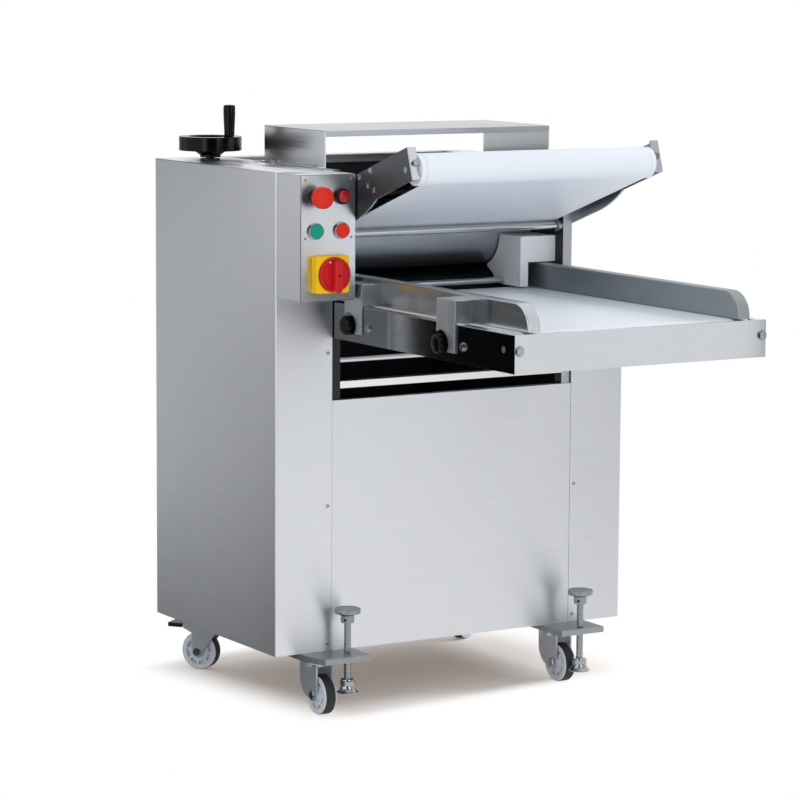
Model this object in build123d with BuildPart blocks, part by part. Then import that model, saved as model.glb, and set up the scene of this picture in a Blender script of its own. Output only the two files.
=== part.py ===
from build123d import *
import os
from math import cos, pi, radians, sin

# Dough press on casters. Millimetres, +Z up, +Y to the rear, origin on the floor under the middle.

# Cabinet
ground_clearance = 118.0
cabinet_height = 900.0
cabinet_width = 776.0
cabinet_depth = 484.0
housing_width = 120.0
sheet = 2.0
base_thickness = 6.0
frame_thickness = 20.0
frame_setback = 5.0
right_housing_height = 666.0
right_cover_width = 50.0
right_cover_setback = 112.0
front_panel_height = 473.0
front_panel_gap = 0.5
panel_return_width = 16.0
rear_flange = 38.0
bridge_height = 70.0
bridge_depth = 232.0
bridge_setback = 61.0
bridge_lip = 12.0
bridge_foot = 14.0
bridge_sheet = 2.5
upper_rod_radius = 7.0
upper_rod_setback = 18.0
upper_rod_height = 898.0
table_rod_radius = 5.0
table_rod_setback = 12.0
table_rod_height = 664.0
rear_rod_radius = 8.0
rear_rod_inset = 44.0
rear_rod_rise = 70.0
cross_bar_height = 13.0
cross_bar_depth = 24.0
cross_bar_bottom = 612.0

# Press rollers and roller lift
roller_radius = 66.5
roller_setback = 176.0
roller_drop = 273.0
roller_gap = 3.0
lift_down = 2.0
lift_up = 17.0
roller_end_gap = 5.0
journal_radius = 20.0
bearing_block_width = 90.0
bearing_block_height = 100.0
yoke_thickness = 14.0
yoke_height = 60.0
rack_height = 78.0
rack_width = 24.0
flange_bearing_radius = 45.0
flange_bearing_thickness = 14.0
cross_shaft_radius = 12.0
cross_shaft_setback = 325.0
cross_shaft_drop = 60.0
pinion_pitch_radius = 20.0
pinion_teeth = 10
pinion_addendum = 3.2
pinion_dedendum = 4.2
pinion_tooth_share = 0.35
worm_wheel_radius = 30.5
worm_wheel_width = 20.0
worm_radius = 14.0
worm_length = 50.0
chute_radius = 150.0
chute_low_angle = -50.0
chute_high_angle = 60.0

# Handwheel
handwheel_inset = 61.0
handwheel_shaft_radius = 8.0
handwheel_radius = 60.5
handwheel_rim_width = 18.0
handwheel_rim_height = 27.0
handwheel_hub_radius = 20.0
handwheel_neck = 4.0
handwheel_cone = 9.0
handwheel_cone_radius = 33.0
handwheel_web = 8.0
handwheel_gap = 2.5
handwheel_windows = 5
handwheel_window_radius = 8.0
grip_offset = 44.0
grip_angle = -62.0
grip_radius = 9.75
grip_top_radius = 11.5
grip_length = 61.0
grip_pin_radius = 4.0
bush_radius = 19.5
bush_height = 4.0
bush_neck_radius = 15.0
bush_neck_length = 26.0

# Roller gears and drive
gear_teeth = 14
gear_width = 16.0
gear_addendum = 10.0
gear_dedendum = 11.5
gear_tooth_share = 0.3
chain_width = 10.0
chain_thickness = 8.0
chain_lane = 14.0
motor_sprocket_radius = 40.0
roller_sprocket_radius = 60.0
small_sprocket_radius = 20.0
motor_setback = 240.0
motor_height = 318.0
motor_shaft_radius = 12.0
gearbox_length = 108.0
gearbox_side = 140.0
motor_radius = 65.0
motor_length = 220.0
counter_drop = 60.0
counter_teeth = 12
counter_addendum = 4.5
counter_dedendum = 5.5

# Conveyors
belt_thickness = 2.0
pulley_radius = 26.7
pulley_shaft_radius = 10.0
idler_shaft_radius = 6.0
upper_slope = 18.6
upper_front_reach = 262.0
upper_front_height = 1034.0
upper_run = 337.6
upper_belt_gap = 6.0
upper_plate_thickness = 4.0
upper_plate_low = 23.0
upper_plate_high = 37.0
upper_plate_bulge = 17.0
upper_plate_nose = 18.0
upper_plate_tail = 30.0
upper_flange_width = 14.0
upper_flange_thickness = 2.5
bed_thickness = 4.0
bed_end_gap = 36.0
cross_tube_radius = 9.0
upper_tube_first = 60.0
upper_tube_second = 200.0
table_reach = 612.0
table_margin = 23.0
table_sheet = 3.0
table_bottom = 708.0
table_height = 67.0
table_belt_gap = 5.0
table_pulley_rise = 39.0
table_rear_setback = 74.0
table_front_room = 3.0
table_bar_width = 16.0
table_bar_first = 162.0
table_bar_second = 483.0
table_bar_depth = 36.0
tension_bolt_stand = 6.0
tension_bolt_radius = 8.0
tension_shank_radius = 4.0
side_bolt_radius = 7.0
side_bolt_stand = 5.0
plate_bolt_radius = 5.0
plate_bolt_stand = 3.5

# Dough guides and side guards
guide_front = 32.0
guide_back = 150.0
guide_width = 80.0
left_guide_width = 57.0
guide_lower_width = 18.0
guide_belt_gap = 4.0
guide_step_rise = 47.0
guide_height = 97.0
guide_roller_gap = 3.5
guard_inset = 8.0
guard_width = 25.0
guard_height = 48.0
guard_front_gap = 6.0
guard_back = 76.0
guard_nose = 45.0
guard_sheet = 1.5
bracket_sheet = 3.0
bracket_width = 62.0
bracket_first = 185.0
rear_bracket_gap = 108.0
bracket_drop = 8.0
bracket_rise = 16.0
knob_from_bracket_front = 47.0
knob_rise = 30.0
knob_radius = 17.5
knob_thickness = 15.0
knob_stud_radius = 5.0
knob_relief = 6.5

# Control box
control_width = 114.0
control_reach = 93.0
control_height = 230.0
control_face_thickness = 2.0
control_column_first = 30.0
control_column_second = 84.0
control_row_top = 978.0
control_row_middle = 916.0
control_row_switch = 838.0
button_bore = 11.0
button_stem = 9.0
bezel_radius = 15.0
bezel_stand = 5.0
button_radius = 12.5
button_travel = 3.0
stop_collar_radius = 15.0
stop_collar_stand = 14.0
stop_head_radius = 20.0
stop_head_height = 20.0
stop_gap = 5.0
lamp_radius = 15.0
lamp_stand = 14.0
lens_radius = 11.5
switch_plate_side = 68.0
switch_plate_stand = 18.0
switch_dial_radius = 31.5
switch_dial_thickness = 10.0
switch_ridge_width = 16.0
switch_ridge_height = 14.0
switch_stem_radius = 6.0
screw_radius = 3.5
screw_stand = 2.0
small_screw_radius = 2.5
small_screw_stand = 1.2
screw_inset = 9.0
housing_screw_low = 16.0
housing_screw_middle = 275.0
housing_screw_high = 562.0
fitting_depth = 24.0
fitting_radius = 14.0
button_cap = 5.0
switch_ridge_margin = 3.0

# Casters and levelling jacks
mount_plate_thickness = 11.0
mount_plate_half = 49.0
mount_plate_front = 68.0
mount_plate_back = 78.0
left_plate_x = -270.0
right_plate_x = 257.0
front_left_caster_x = -290.0
front_right_caster_x = 259.0
front_left_caster_setback = 22.0
front_right_caster_setback = 36.0
rear_caster_inset = 100.0
rear_caster_setback = 438.0
rear_pad_side = 90.0
mount_plate_rim = 6.0
caster_plate_side = 76.0
caster_plate_thickness = 4.0
caster_race_radius = 27.0
caster_race_height = 5.0
caster_crown_radius = 26.0
caster_crown_height = 8.0
caster_gap = 0.5
kingpin_radius = 6.0
wheel_radius = 37.5
wheel_width = 25.0
wheel_trail = 24.0
wheel_hub_radius = 11.0
wheel_rim_inner = 23.0
wheel_tread = 7.0
wheel_web = 7.0
wheel_pockets = 8
wheel_pocket_radius = 4.0
wheel_edge = 2.0
axle_radius = 5.0
axle_head_radius = 8.0
axle_head = 4.0
fork_leg = 3.0
fork_inner = 15.5
fork_foot_radius = 12.0
rear_left_turn = 127.0
rear_right_turn = 30.0
front_turn = -90.0
pedal_pivot = 50.0
pedal_pivot_height = 88.0
pedal_pin_radius = 3.0
pedal_eye_radius = 7.0
pedal_length = 38.0
pedal_width = 40.0
pedal_thickness = 8.0
left_jack_x = -254.0
left_jack_reach = 36.0
right_jack_x = 262.0
right_jack_reach = 50.0
jack_screw_radius = 7.0
jack_length = 160.0
left_jack_raise = 44.0
right_jack_raise = 32.0
jack_foot_radius = 21.0
jack_foot_neck = 13.0
jack_foot_cone = 13.0
jack_foot_hub = 14.0
jack_foot_hub_height = 12.0
jack_socket_depth = 15.0
jack_knob_radius = 24.5
jack_knob_rim = 8.0
jack_knob_cone = 9.0
jack_knob_hub = 12.5
jack_knob_height = 27.0

# Cable gland
gland_radius = 14.0
gland_reach = 22.0
gland_bore = 6.0
gland_inset = 68.0
gland_height = 218.0

# Fits
running = 0.05
clearance = 0.3
room = 1.0

# Derived places
half_width = cabinet_width / 2
plate_out = half_width - housing_width
plate_in = plate_out - frame_thickness
cabinet_top = ground_clearance + cabinet_height
frame_bottom = ground_clearance + base_thickness
pedal_reach = (pedal_pivot + pedal_length) * sin(radians(rear_left_turn))
pedal_corner = pedal_width / 2 * abs(cos(radians(rear_left_turn)))
rear_reach = max(gland_reach, rear_caster_setback + pedal_reach + pedal_corner - cabinet_depth)
gland_x = plate_in - gland_inset
overall_depth = table_reach + tension_bolt_stand + cabinet_depth + rear_reach
front = table_reach + tension_bolt_stand - overall_depth / 2
rear = front + cabinet_depth
frame_front = front + frame_setback
frame_rear = rear - frame_setback
lower_roller_height = cabinet_top - roller_drop
cross_shaft_height = cabinet_top - cross_shaft_drop
roller_y = front + roller_setback
upper_roller_height = lower_roller_height + 2 * roller_radius + roller_gap
roller_half = plate_in - roller_end_gap
cross_y = front + cross_shaft_setback
handwheel_x = handwheel_inset - half_width
handwheel_y = cross_y + worm_wheel_radius + worm_radius + clearance
belt_radius = pulley_radius + clearance + belt_thickness
belt_inner = pulley_radius + clearance
upper_front_y = front - upper_front_reach
upper_rear_y = upper_front_y + upper_run * cos(radians(upper_slope))
upper_rear_height = upper_front_height - upper_run * sin(radians(upper_slope))
counter_height = upper_rear_height - counter_drop
upper_belt_half = plate_in - upper_belt_gap
table_belt_half = plate_in - table_belt_gap
table_half = table_belt_half + table_margin
table_front = front - table_reach
table_top = table_bottom + table_height
table_pulley_height = table_bottom + table_pulley_rise
table_belt_top = table_pulley_height + belt_radius
table_front_y = table_front + table_sheet + table_front_room + belt_radius
table_rear_y = front + table_rear_setback
guide_inner = plate_in - guide_width
left_guide_inner = plate_in - left_guide_width
guide_bottom = table_belt_top + guide_belt_gap
guide_step = guide_bottom + guide_step_rise
guide_top = guide_bottom + guide_height
guard_outer = table_belt_half - guard_inset
guard_bottom = table_belt_top + room
guard_top = guard_bottom + guard_height
bracket_top = guard_top - bracket_drop
bracket_bottom = table_bottom + bracket_rise
bracket_fronts = (table_front + bracket_first, front - rear_bracket_gap)
knob_height = table_bottom + knob_rise
drive_ratio = roller_radius / belt_radius
big_sprocket_radius = small_sprocket_radius * drive_ratio
gear_pitch_radius = roller_radius + (roller_gap - lift_down) / 2
gear_outer = plate_out + flange_bearing_thickness + 2 * clearance + chain_width / 2
gear_lane = gear_outer + gear_width / 2
motor_lane = gear_lane + gear_width / 2 + chain_lane - chain_width / 2
table_lane = motor_lane + chain_lane
upper_lane = table_lane + chain_lane
counter_lane = upper_lane + chain_lane
motor_y = front + motor_setback
control_front = front - control_reach
button_stand = button_cap + button_travel + room
control_left = -half_width
mount_plate_bottom = ground_clearance - mount_plate_thickness
caster_race_bottom = mount_plate_bottom - caster_plate_thickness - caster_race_height
crown_top = caster_race_bottom - caster_gap

os.makedirs("parts", exist_ok=True)


def keep(piece, name):
    """Labels a finished piece and writes its STEP file."""
    piece.label = name
    export_step(piece, f"parts/{name}.step")


def block(x_low, x_high, y_low, y_high, z_low, z_high, mode=Mode.ADD):
    """Adds a box between two limits on each axis."""
    with Locations(((x_low + x_high) / 2, (y_low + y_high) / 2, (z_low + z_high) / 2)):
        Box(x_high - x_low, y_high - y_low, z_high - z_low, mode=mode)


def bar_x(x_low, x_high, y, z, radius, mode=Mode.ADD):
    """Adds a cylinder that lies along X."""
    with Locations(Location(((x_low + x_high) / 2, y, z), (0, 90, 0))):
        Cylinder(radius, x_high - x_low, mode=mode)


def bar_y(x, y_low, y_high, z, radius, mode=Mode.ADD):
    """Adds a cylinder that lies along Y."""
    with Locations(Location((x, (y_low + y_high) / 2, z), (90, 0, 0))):
        Cylinder(radius, y_high - y_low, mode=mode)


def post(x, y, z_low, z_high, radius, mode=Mode.ADD):
    """Adds an upright cylinder."""
    with Locations((x, y, (z_low + z_high) / 2)):
        Cylinder(radius, z_high - z_low, mode=mode)


def loop_face(first, first_radius, second, second_radius):
    """Outline of a band round two wheels, each given by its centre in the sketch plane."""
    with BuildSketch() as band:
        with Locations(first):
            Circle(first_radius)
        with Locations(second):
            Circle(second_radius)
        make_hull(band.edges())
    return band.sketch


def gear_face(pitch_radius, addendum, dedendum, teeth, share, turn):
    """Toothed outline of a gear, first tooth at the angle turn, each tooth filling share of its pitch."""
    tooth = 2 * pi * pitch_radius / teeth * share
    root = pitch_radius - dedendum
    tip = pitch_radius + addendum
    with BuildSketch() as gear:
        Circle(root)
        with PolarLocations(0, teeth, start_angle=turn):
            Polygon(
                (root - dedendum / 2, -0.75 * tooth),
                (root, -0.75 * tooth),
                (tip, -0.25 * tooth),
                (tip, 0.25 * tooth),
                (root, 0.75 * tooth),
                (root - dedendum / 2, 0.75 * tooth),
                align=None,
            )
    return gear.sketch


def side_plane(x, y=0.0, z=0.0):
    """Sketch plane that faces +X, with its first axis along +Y and its second along +Z."""
    return Plane((x, y, z), x_dir=(0, 1, 0), z_dir=(1, 0, 0))


def slope_plane(x):
    """Sketch plane that faces +X, with its first axis down the upper conveyor from the front pulley."""
    slope = radians(upper_slope)
    origin = (x, upper_front_y, upper_front_height)
    return Plane(origin, x_dir=(0, cos(slope), -sin(slope)), z_dir=(1, 0, 0))


# Base plate that carries both frame plates
with BuildPart() as base_plate:
    block(
        sheet - half_width,
        half_width - sheet,
        front + sheet,
        rear - sheet,
        ground_clearance,
        frame_bottom,
    )
keep(base_plate.part, "base_plate")


def cut_frame_openings(x_low, x_high):
    """Cuts the bearing slot and the shaft holes that both frame plates share."""
    slot_half = bearing_block_width / 2 + clearance
    block(
        x_low,
        x_high,
        roller_y - slot_half,
        roller_y + slot_half,
        upper_roller_height - bearing_block_height / 2 - lift_down - room,
        upper_roller_height + bearing_block_height / 2 + lift_up + room,
        mode=Mode.SUBTRACT,
    )
    bar_x(x_low, x_high, roller_y, lower_roller_height, journal_radius + room, mode=Mode.SUBTRACT)
    bar_x(x_low, x_high, cross_y, cross_shaft_height, cross_shaft_radius + running, mode=Mode.SUBTRACT)
    pulley_hole = pulley_shaft_radius + running
    bar_x(x_low, x_high, upper_rear_y, upper_rear_height, pulley_hole, mode=Mode.SUBTRACT)
    bar_x(x_low, x_high, table_rear_y, table_pulley_height, pulley_hole, mode=Mode.SUBTRACT)


# Frame plates that hold the rollers
with BuildPart() as left_frame_plate:
    block(-plate_out, -plate_in, frame_front, frame_rear, frame_bottom, cabinet_top)
    cut_frame_openings(-plate_out, -plate_in)
    bar_x(-plate_out, -plate_in, motor_y, motor_height, motor_shaft_radius + running, mode=Mode.SUBTRACT)
    bar_x(
        -plate_out,
        -plate_in,
        upper_rear_y,
        counter_height,
        pulley_shaft_radius + running,
        mode=Mode.SUBTRACT,
    )
keep(left_frame_plate.part, "left_frame_plate")

with BuildPart() as right_frame_plate:
    block(plate_in, plate_out, frame_front, frame_rear, frame_bottom, cabinet_top)
    cut_frame_openings(plate_in, plate_out)
keep(right_frame_plate.part, "right_frame_plate")

# Left housing, open towards the frame plate, notched for the conveyor plate and bored for the handwheel bush
with BuildPart() as left_housing:
    block(-half_width, -plate_out, front, rear, ground_clearance, cabinet_top)
    block(
        sheet - half_width,
        -plate_out,
        front + sheet,
        rear - sheet,
        ground_clearance,
        cabinet_top - sheet,
        mode=Mode.SUBTRACT,
    )
    with BuildSketch(slope_plane(-plate_out - upper_plate_thickness - room)):
        with Locations((upper_run / 2, (upper_plate_high - upper_plate_low - upper_plate_bulge) / 2)):
            Rectangle(
                upper_run + 2 * upper_plate_tail + 2 * room,
                upper_plate_high + upper_plate_low + upper_plate_bulge + 2 * room,
            )
    extrude(amount=upper_plate_thickness + room, mode=Mode.SUBTRACT)
    post(
        handwheel_x,
        handwheel_y,
        cabinet_top - sheet,
        cabinet_top,
        bush_neck_radius + clearance,
        mode=Mode.SUBTRACT,
    )
keep(left_housing.part, "left_housing")

# Right housing: a full-width lower box and a slim cover over the roller bearings
with BuildPart() as right_housing:
    step_top = ground_clearance + right_housing_height
    cover_front = front + right_cover_setback
    cover_out = plate_out + right_cover_width
    block(plate_out, half_width, front, rear, ground_clearance, step_top)
    block(plate_out, cover_out, cover_front, rear, step_top, cabinet_top)
    block(
        plate_out,
        half_width - sheet,
        front + sheet,
        rear - sheet,
        ground_clearance,
        step_top - sheet,
        mode=Mode.SUBTRACT,
    )
    block(
        plate_out,
        cover_out - sheet,
        cover_front + sheet,
        rear - sheet,
        step_top - sheet,
        cabinet_top - sheet,
        mode=Mode.SUBTRACT,
    )
keep(right_housing.part, "right_housing")

# Front panel between the housings, with side returns that meet the frame plates
with BuildPart() as front_panel:
    panel_top = ground_clearance + front_panel_height
    panel_half = plate_out - front_panel_gap
    block(-panel_half, panel_half, front + front_panel_gap, front + sheet, ground_clearance, panel_top)
    for side in (-1, 1):
        return_middle = side * (plate_out - frame_thickness / 2)
        block(
            return_middle - panel_return_width / 2,
            return_middle + panel_return_width / 2,
            front + sheet,
            frame_front,
            frame_bottom,
            panel_top,
        )
    block(-plate_in, plate_in, front + sheet, front + panel_return_width, panel_top - sheet, panel_top)
keep(front_panel.part, "front_panel")

# Rear panel with a flange along its top edge
with BuildPart() as rear_panel:
    block(-plate_out, plate_out, rear - sheet, rear, ground_clearance, cabinet_top)
    block(
        -plate_in,
        plate_in,
        rear - sheet - rear_flange,
        rear - sheet,
        cabinet_top - sheet,
        cabinet_top,
    )
    for side in (-1, 1):
        return_middle = side * (plate_out - frame_thickness / 2)
        block(
            return_middle - panel_return_width / 2,
            return_middle + panel_return_width / 2,
            frame_rear,
            rear - sheet,
            frame_bottom,
            cabinet_top,
        )
    bar_y(gland_x, rear - sheet, rear, gland_height, gland_bore + room, mode=Mode.SUBTRACT)
keep(rear_panel.part, "rear_panel")

# Bent-sheet bridge that stands on the frame plates
with BuildPart() as top_bridge:
    bridge_front = front + bridge_setback
    bridge_back = bridge_front + bridge_depth
    bridge_top = cabinet_top + bridge_height
    bridge_outer = plate_in + bridge_sheet
    block(-bridge_outer, bridge_outer, bridge_front, bridge_back, bridge_top - bridge_sheet, bridge_top)
    for lip_front in (bridge_front, bridge_back - bridge_sheet):
        block(
            -bridge_outer,
            bridge_outer,
            lip_front,
            lip_front + bridge_sheet,
            bridge_top - bridge_lip,
            bridge_top,
        )
    for side in (-1, 1):
        leg_faces = sorted((side * plate_in, side * bridge_outer))
        block(*leg_faces, bridge_front, bridge_back, cabinet_top, bridge_top)
        foot_faces = sorted((side * plate_in, side * (plate_in + bridge_foot)))
        block(*foot_faces, bridge_front, bridge_back, cabinet_top, cabinet_top + bridge_sheet)
keep(top_bridge.part, "top_bridge")

# Round tie rods and the front bar between the frame plates
with BuildPart() as cross_members:
    bar_x(-plate_in, plate_in, front + upper_rod_setback, upper_rod_height, upper_rod_radius)
    bar_x(-plate_in, plate_in, front + table_rod_setback, table_rod_height, table_rod_radius)
    bar_x(-plate_in, plate_in, rear - rear_rod_inset, frame_bottom + rear_rod_rise, rear_rod_radius)
    bar_x(-plate_in, plate_in, rear - rear_rod_inset, lower_roller_height, rear_rod_radius)
    bar_top = cross_bar_bottom + cross_bar_height
    block(-plate_in, plate_in, frame_front, frame_front + sheet, cross_bar_bottom, bar_top)
    block(-plate_in, plate_in, frame_front, frame_front + cross_bar_depth, bar_top - sheet, bar_top)
keep(cross_members.part, "cross_members")


def roller_solid(half_length, radius, y, z, left_end, right_end, shaft_radius):
    """Adds a roller along X with a shaft that runs from left_end to right_end."""
    bar_x(-half_length, half_length, y, z, radius)
    bar_x(left_end, right_end, y, z, shaft_radius)


def disc(lane, y, z, radius, width):
    """Adds a disc centred on a drive lane of the left housing."""
    bar_x(-lane - width / 2, -lane + width / 2, y, z, radius)


# Lower press roller with its gear and three sprockets
with BuildPart() as lower_roller:
    roller_solid(
        roller_half,
        roller_radius,
        roller_y,
        lower_roller_height,
        -upper_lane - chain_width / 2 - room,
        plate_out + flange_bearing_thickness + room,
        journal_radius,
    )
    with BuildSketch(side_plane(-gear_lane - gear_width / 2, roller_y, lower_roller_height)):
        add(gear_face(gear_pitch_radius, gear_addendum, gear_dedendum, gear_teeth, gear_tooth_share, 90))
    extrude(amount=gear_width)
    disc(motor_lane, roller_y, lower_roller_height, roller_sprocket_radius, chain_width)
    disc(table_lane, roller_y, lower_roller_height, big_sprocket_radius, chain_width)
    disc(upper_lane, roller_y, lower_roller_height, big_sprocket_radius, chain_width)
keep(lower_roller.part, "lower_roller")

# Upper press roller with its gear, a tooth gap facing the lower gear's top tooth
with BuildPart() as upper_roller:
    roller_solid(
        roller_half,
        roller_radius,
        roller_y,
        upper_roller_height,
        -gear_lane - gear_width / 2 - room,
        plate_out + yoke_thickness + room,
        journal_radius,
    )
    half_pitch = 180 / gear_teeth
    with BuildSketch(side_plane(-gear_lane - gear_width / 2, roller_y, upper_roller_height)):
        add(
            gear_face(
                gear_pitch_radius,
                gear_addendum,
                gear_dedendum,
                gear_teeth,
                gear_tooth_share,
                half_pitch - 90,
            )
        )
    extrude(amount=gear_width)
keep(upper_roller.part, "upper_roller")

# Bearings: two flange bearings for the lower roller and the bush under the handwheel
with BuildPart() as bearings:
    for side in (-1, 1):
        faces = sorted((side * plate_out, side * (plate_out + flange_bearing_thickness)))
        bar_x(*faces, roller_y, lower_roller_height, flange_bearing_radius)
        bar_x(*faces, roller_y, lower_roller_height, journal_radius + running, mode=Mode.SUBTRACT)
    post(handwheel_x, handwheel_y, cabinet_top, cabinet_top + bush_height, bush_radius)
    post(handwheel_x, handwheel_y, cabinet_top - bush_neck_length, cabinet_top, bush_neck_radius)
    post(
        handwheel_x,
        handwheel_y,
        cabinet_top - bush_neck_length,
        cabinet_top + bush_height,
        handwheel_shaft_radius + running,
        mode=Mode.SUBTRACT,
    )
keep(bearings.part, "bearings")


def rack_face():
    """Side outline of a lift yoke with its rack, on the roller axis, rearward then upward."""
    pitch = 2 * pi * pinion_pitch_radius / pinion_teeth
    tooth = pitch * pinion_tooth_share
    pitch_line = cross_shaft_setback - pinion_pitch_radius - roller_setback
    root = pitch_line - pinion_dedendum
    tip = pitch_line + pinion_addendum
    middle = cross_shaft_height - upper_roller_height
    teeth = 2 * int(rack_height / pitch / 2)
    with BuildSketch() as outline:
        with Locations(((root - bearing_block_width / 2) / 2, 0)):
            Rectangle(root + bearing_block_width / 2, yoke_height)
        with Locations((root - rack_width / 2, (middle + rack_height / 2 - yoke_height / 2) / 2)):
            Rectangle(rack_width, middle + rack_height / 2 + yoke_height / 2)
        with Locations((0, middle)):
            with GridLocations(0, pitch, 1, teeth):
                Polygon(
                    (root - pinion_dedendum, -0.75 * tooth),
                    (root, -0.75 * tooth),
                    (tip, -0.25 * tooth),
                    (tip, 0.25 * tooth),
                    (root, 0.75 * tooth),
                    (root - pinion_dedendum, 0.75 * tooth),
                    align=None,
                )
    return outline.sketch


# Lift blocks that carry the upper roller, one in each frame plate, each with its yoke and rack
with BuildPart() as lift_blocks:
    for side in (-1, 1):
        block_faces = sorted((side * plate_in, side * (plate_out + clearance)))
        block(
            *block_faces,
            roller_y - bearing_block_width / 2,
            roller_y + bearing_block_width / 2,
            upper_roller_height - bearing_block_height / 2,
            upper_roller_height + bearing_block_height / 2,
        )
        yoke_faces = sorted((side * (plate_out + clearance), side * (plate_out + yoke_thickness)))
        with BuildSketch(side_plane(yoke_faces[0], roller_y, upper_roller_height)):
            add(rack_face())
        extrude(amount=yoke_faces[1] - yoke_faces[0])
        bore_faces = sorted((side * plate_in, side * (plate_out + yoke_thickness)))
        bar_x(*bore_faces, roller_y, upper_roller_height, journal_radius + running, mode=Mode.SUBTRACT)
keep(lift_blocks.part, "lift_blocks")

# Cross shaft with the worm wheel and the two pinions that lift the blocks
with BuildPart() as cross_shaft:
    shaft_end = worm_wheel_width / 2 + room
    bar_x(
        handwheel_x - shaft_end,
        plate_out + yoke_thickness + room,
        cross_y,
        cross_shaft_height,
        cross_shaft_radius,
    )
    bar_x(
        handwheel_x - worm_wheel_width / 2,
        handwheel_x + worm_wheel_width / 2,
        cross_y,
        cross_shaft_height,
        worm_wheel_radius,
    )
    pinion_width = yoke_thickness - room
    for pinion_left in (-plate_out - yoke_thickness, plate_out + room):
        with BuildSketch(side_plane(pinion_left, cross_y, cross_shaft_height)):
            add(
                gear_face(
                    pinion_pitch_radius,
                    pinion_addendum,
                    pinion_dedendum,
                    pinion_teeth,
                    pinion_tooth_share,
                    180,
                )
            )
        extrude(amount=pinion_width)
keep(cross_shaft.part, "cross_shaft")

# Handwheel with its shaft, worm and the pin of the revolving grip
grip_x = handwheel_x + grip_offset * cos(radians(grip_angle))
grip_y = handwheel_y + grip_offset * sin(radians(grip_angle))
hub_bottom = cabinet_top + bush_height + handwheel_gap
rim_bottom = hub_bottom + handwheel_neck + handwheel_cone
rim_top = rim_bottom + handwheel_rim_height
with BuildPart() as handwheel:
    rim_inner = handwheel_radius - handwheel_rim_width
    web_top = rim_bottom + handwheel_web
    hub_top = rim_bottom + 2 * handwheel_web
    with BuildSketch(Plane((handwheel_x, handwheel_y, 0), x_dir=(1, 0, 0), z_dir=(0, -1, 0))):
        with BuildLine():
            Polyline(
                (0, hub_bottom),
                (handwheel_hub_radius, hub_bottom),
                (handwheel_hub_radius, hub_bottom + handwheel_neck),
                (handwheel_cone_radius, rim_bottom),
                (handwheel_radius - room, rim_bottom),
                (handwheel_radius, rim_bottom + room),
                (handwheel_radius, rim_top - room),
                (handwheel_radius - room, rim_top),
                (rim_inner, rim_top),
                (rim_inner, web_top),
                (handwheel_hub_radius, web_top),
                (handwheel_hub_radius, hub_top),
                (0, hub_top),
                close=True,
            )
        make_face()
    revolve(axis=Axis((handwheel_x, handwheel_y, 0), (0, 0, 1)))
    window_ring = (rim_inner + handwheel_hub_radius) / 2
    with BuildSketch(Plane((handwheel_x, handwheel_y, rim_bottom - handwheel_cone))):
        with PolarLocations(window_ring, handwheel_windows, start_angle=grip_angle + 180):
            Circle(handwheel_window_radius)
    extrude(amount=handwheel_cone + 2 * handwheel_web, mode=Mode.SUBTRACT)
    worm_top = cross_shaft_height + worm_length / 2
    worm_bottom = cross_shaft_height - worm_length / 2
    post(handwheel_x, handwheel_y, worm_bottom, hub_bottom, handwheel_shaft_radius)
    post(handwheel_x, handwheel_y, worm_bottom, worm_top - handwheel_web, worm_radius)
    post(grip_x, grip_y, rim_bottom, rim_top + grip_length * 0.8, grip_pin_radius)
keep(handwheel.part, "handwheel")

# Revolving grip on its pin
with BuildPart() as handwheel_grip:
    grip_bottom = rim_top + clearance
    with BuildSketch(Plane((grip_x, grip_y, 0), x_dir=(1, 0, 0), z_dir=(0, -1, 0))):
        with BuildLine():
            Polyline(
                (grip_pin_radius + running, grip_bottom),
                (grip_radius, grip_bottom),
                (grip_top_radius, grip_bottom + grip_length * 0.6),
                (grip_top_radius, grip_bottom + grip_length - room),
                (grip_top_radius - room, grip_bottom + grip_length),
                (0, grip_bottom + grip_length),
                (0, grip_bottom + grip_length * 0.8 + room),
                (grip_pin_radius + running, grip_bottom + grip_length * 0.8 + room),
                close=True,
            )
        make_face()
    revolve(axis=Axis((grip_x, grip_y, 0), (0, 0, 1)))
keep(handwheel_grip.part, "handwheel_grip")


def chain_loop(lane, first, first_radius, second, second_radius):
    """Adds a closed chain band round two sprockets on one lane of the left housing."""
    inner = clearance
    outer = clearance + chain_thickness
    plane = side_plane(-lane - chain_width / 2)
    band = loop_face(first, first_radius + outer, second, second_radius + outer)
    gap = loop_face(first, first_radius + inner, second, second_radius + inner)
    extrude(plane * band, amount=chain_width)
    extrude(plane * gap, amount=chain_width, mode=Mode.SUBTRACT)


# Drive chains: motor to lower roller, lower roller to table, lower roller to counter shaft
with BuildPart() as drive_chains:
    roller_axis = (roller_y, lower_roller_height)
    chain_loop(
        motor_lane,
        (motor_y, motor_height),
        motor_sprocket_radius,
        roller_axis,
        roller_sprocket_radius,
    )
    chain_loop(
        table_lane,
        (table_rear_y, table_pulley_height),
        small_sprocket_radius,
        roller_axis,
        big_sprocket_radius,
    )
    chain_loop(
        upper_lane,
        (upper_rear_y, counter_height),
        small_sprocket_radius,
        roller_axis,
        big_sprocket_radius,
    )
keep(drive_chains.part, "drive_chains")

# Curved sheet that turns the dough up behind the rollers
with BuildPart() as return_chute:
    nip_height = (lower_roller_height + upper_roller_height) / 2
    with BuildSketch(side_plane(-plate_in, roller_y, nip_height)):
        with BuildLine():
            span = chute_high_angle - chute_low_angle
            inner_arc = CenterArc((0, 0), chute_radius, chute_low_angle, span)
            outer_arc = CenterArc((0, 0), chute_radius + sheet, chute_low_angle, span)
            Line(inner_arc @ 0, outer_arc @ 0)
            Line(inner_arc @ 1, outer_arc @ 1)
        make_face()
    extrude(amount=2 * plate_in)
keep(return_chute.part, "return_chute")

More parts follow.
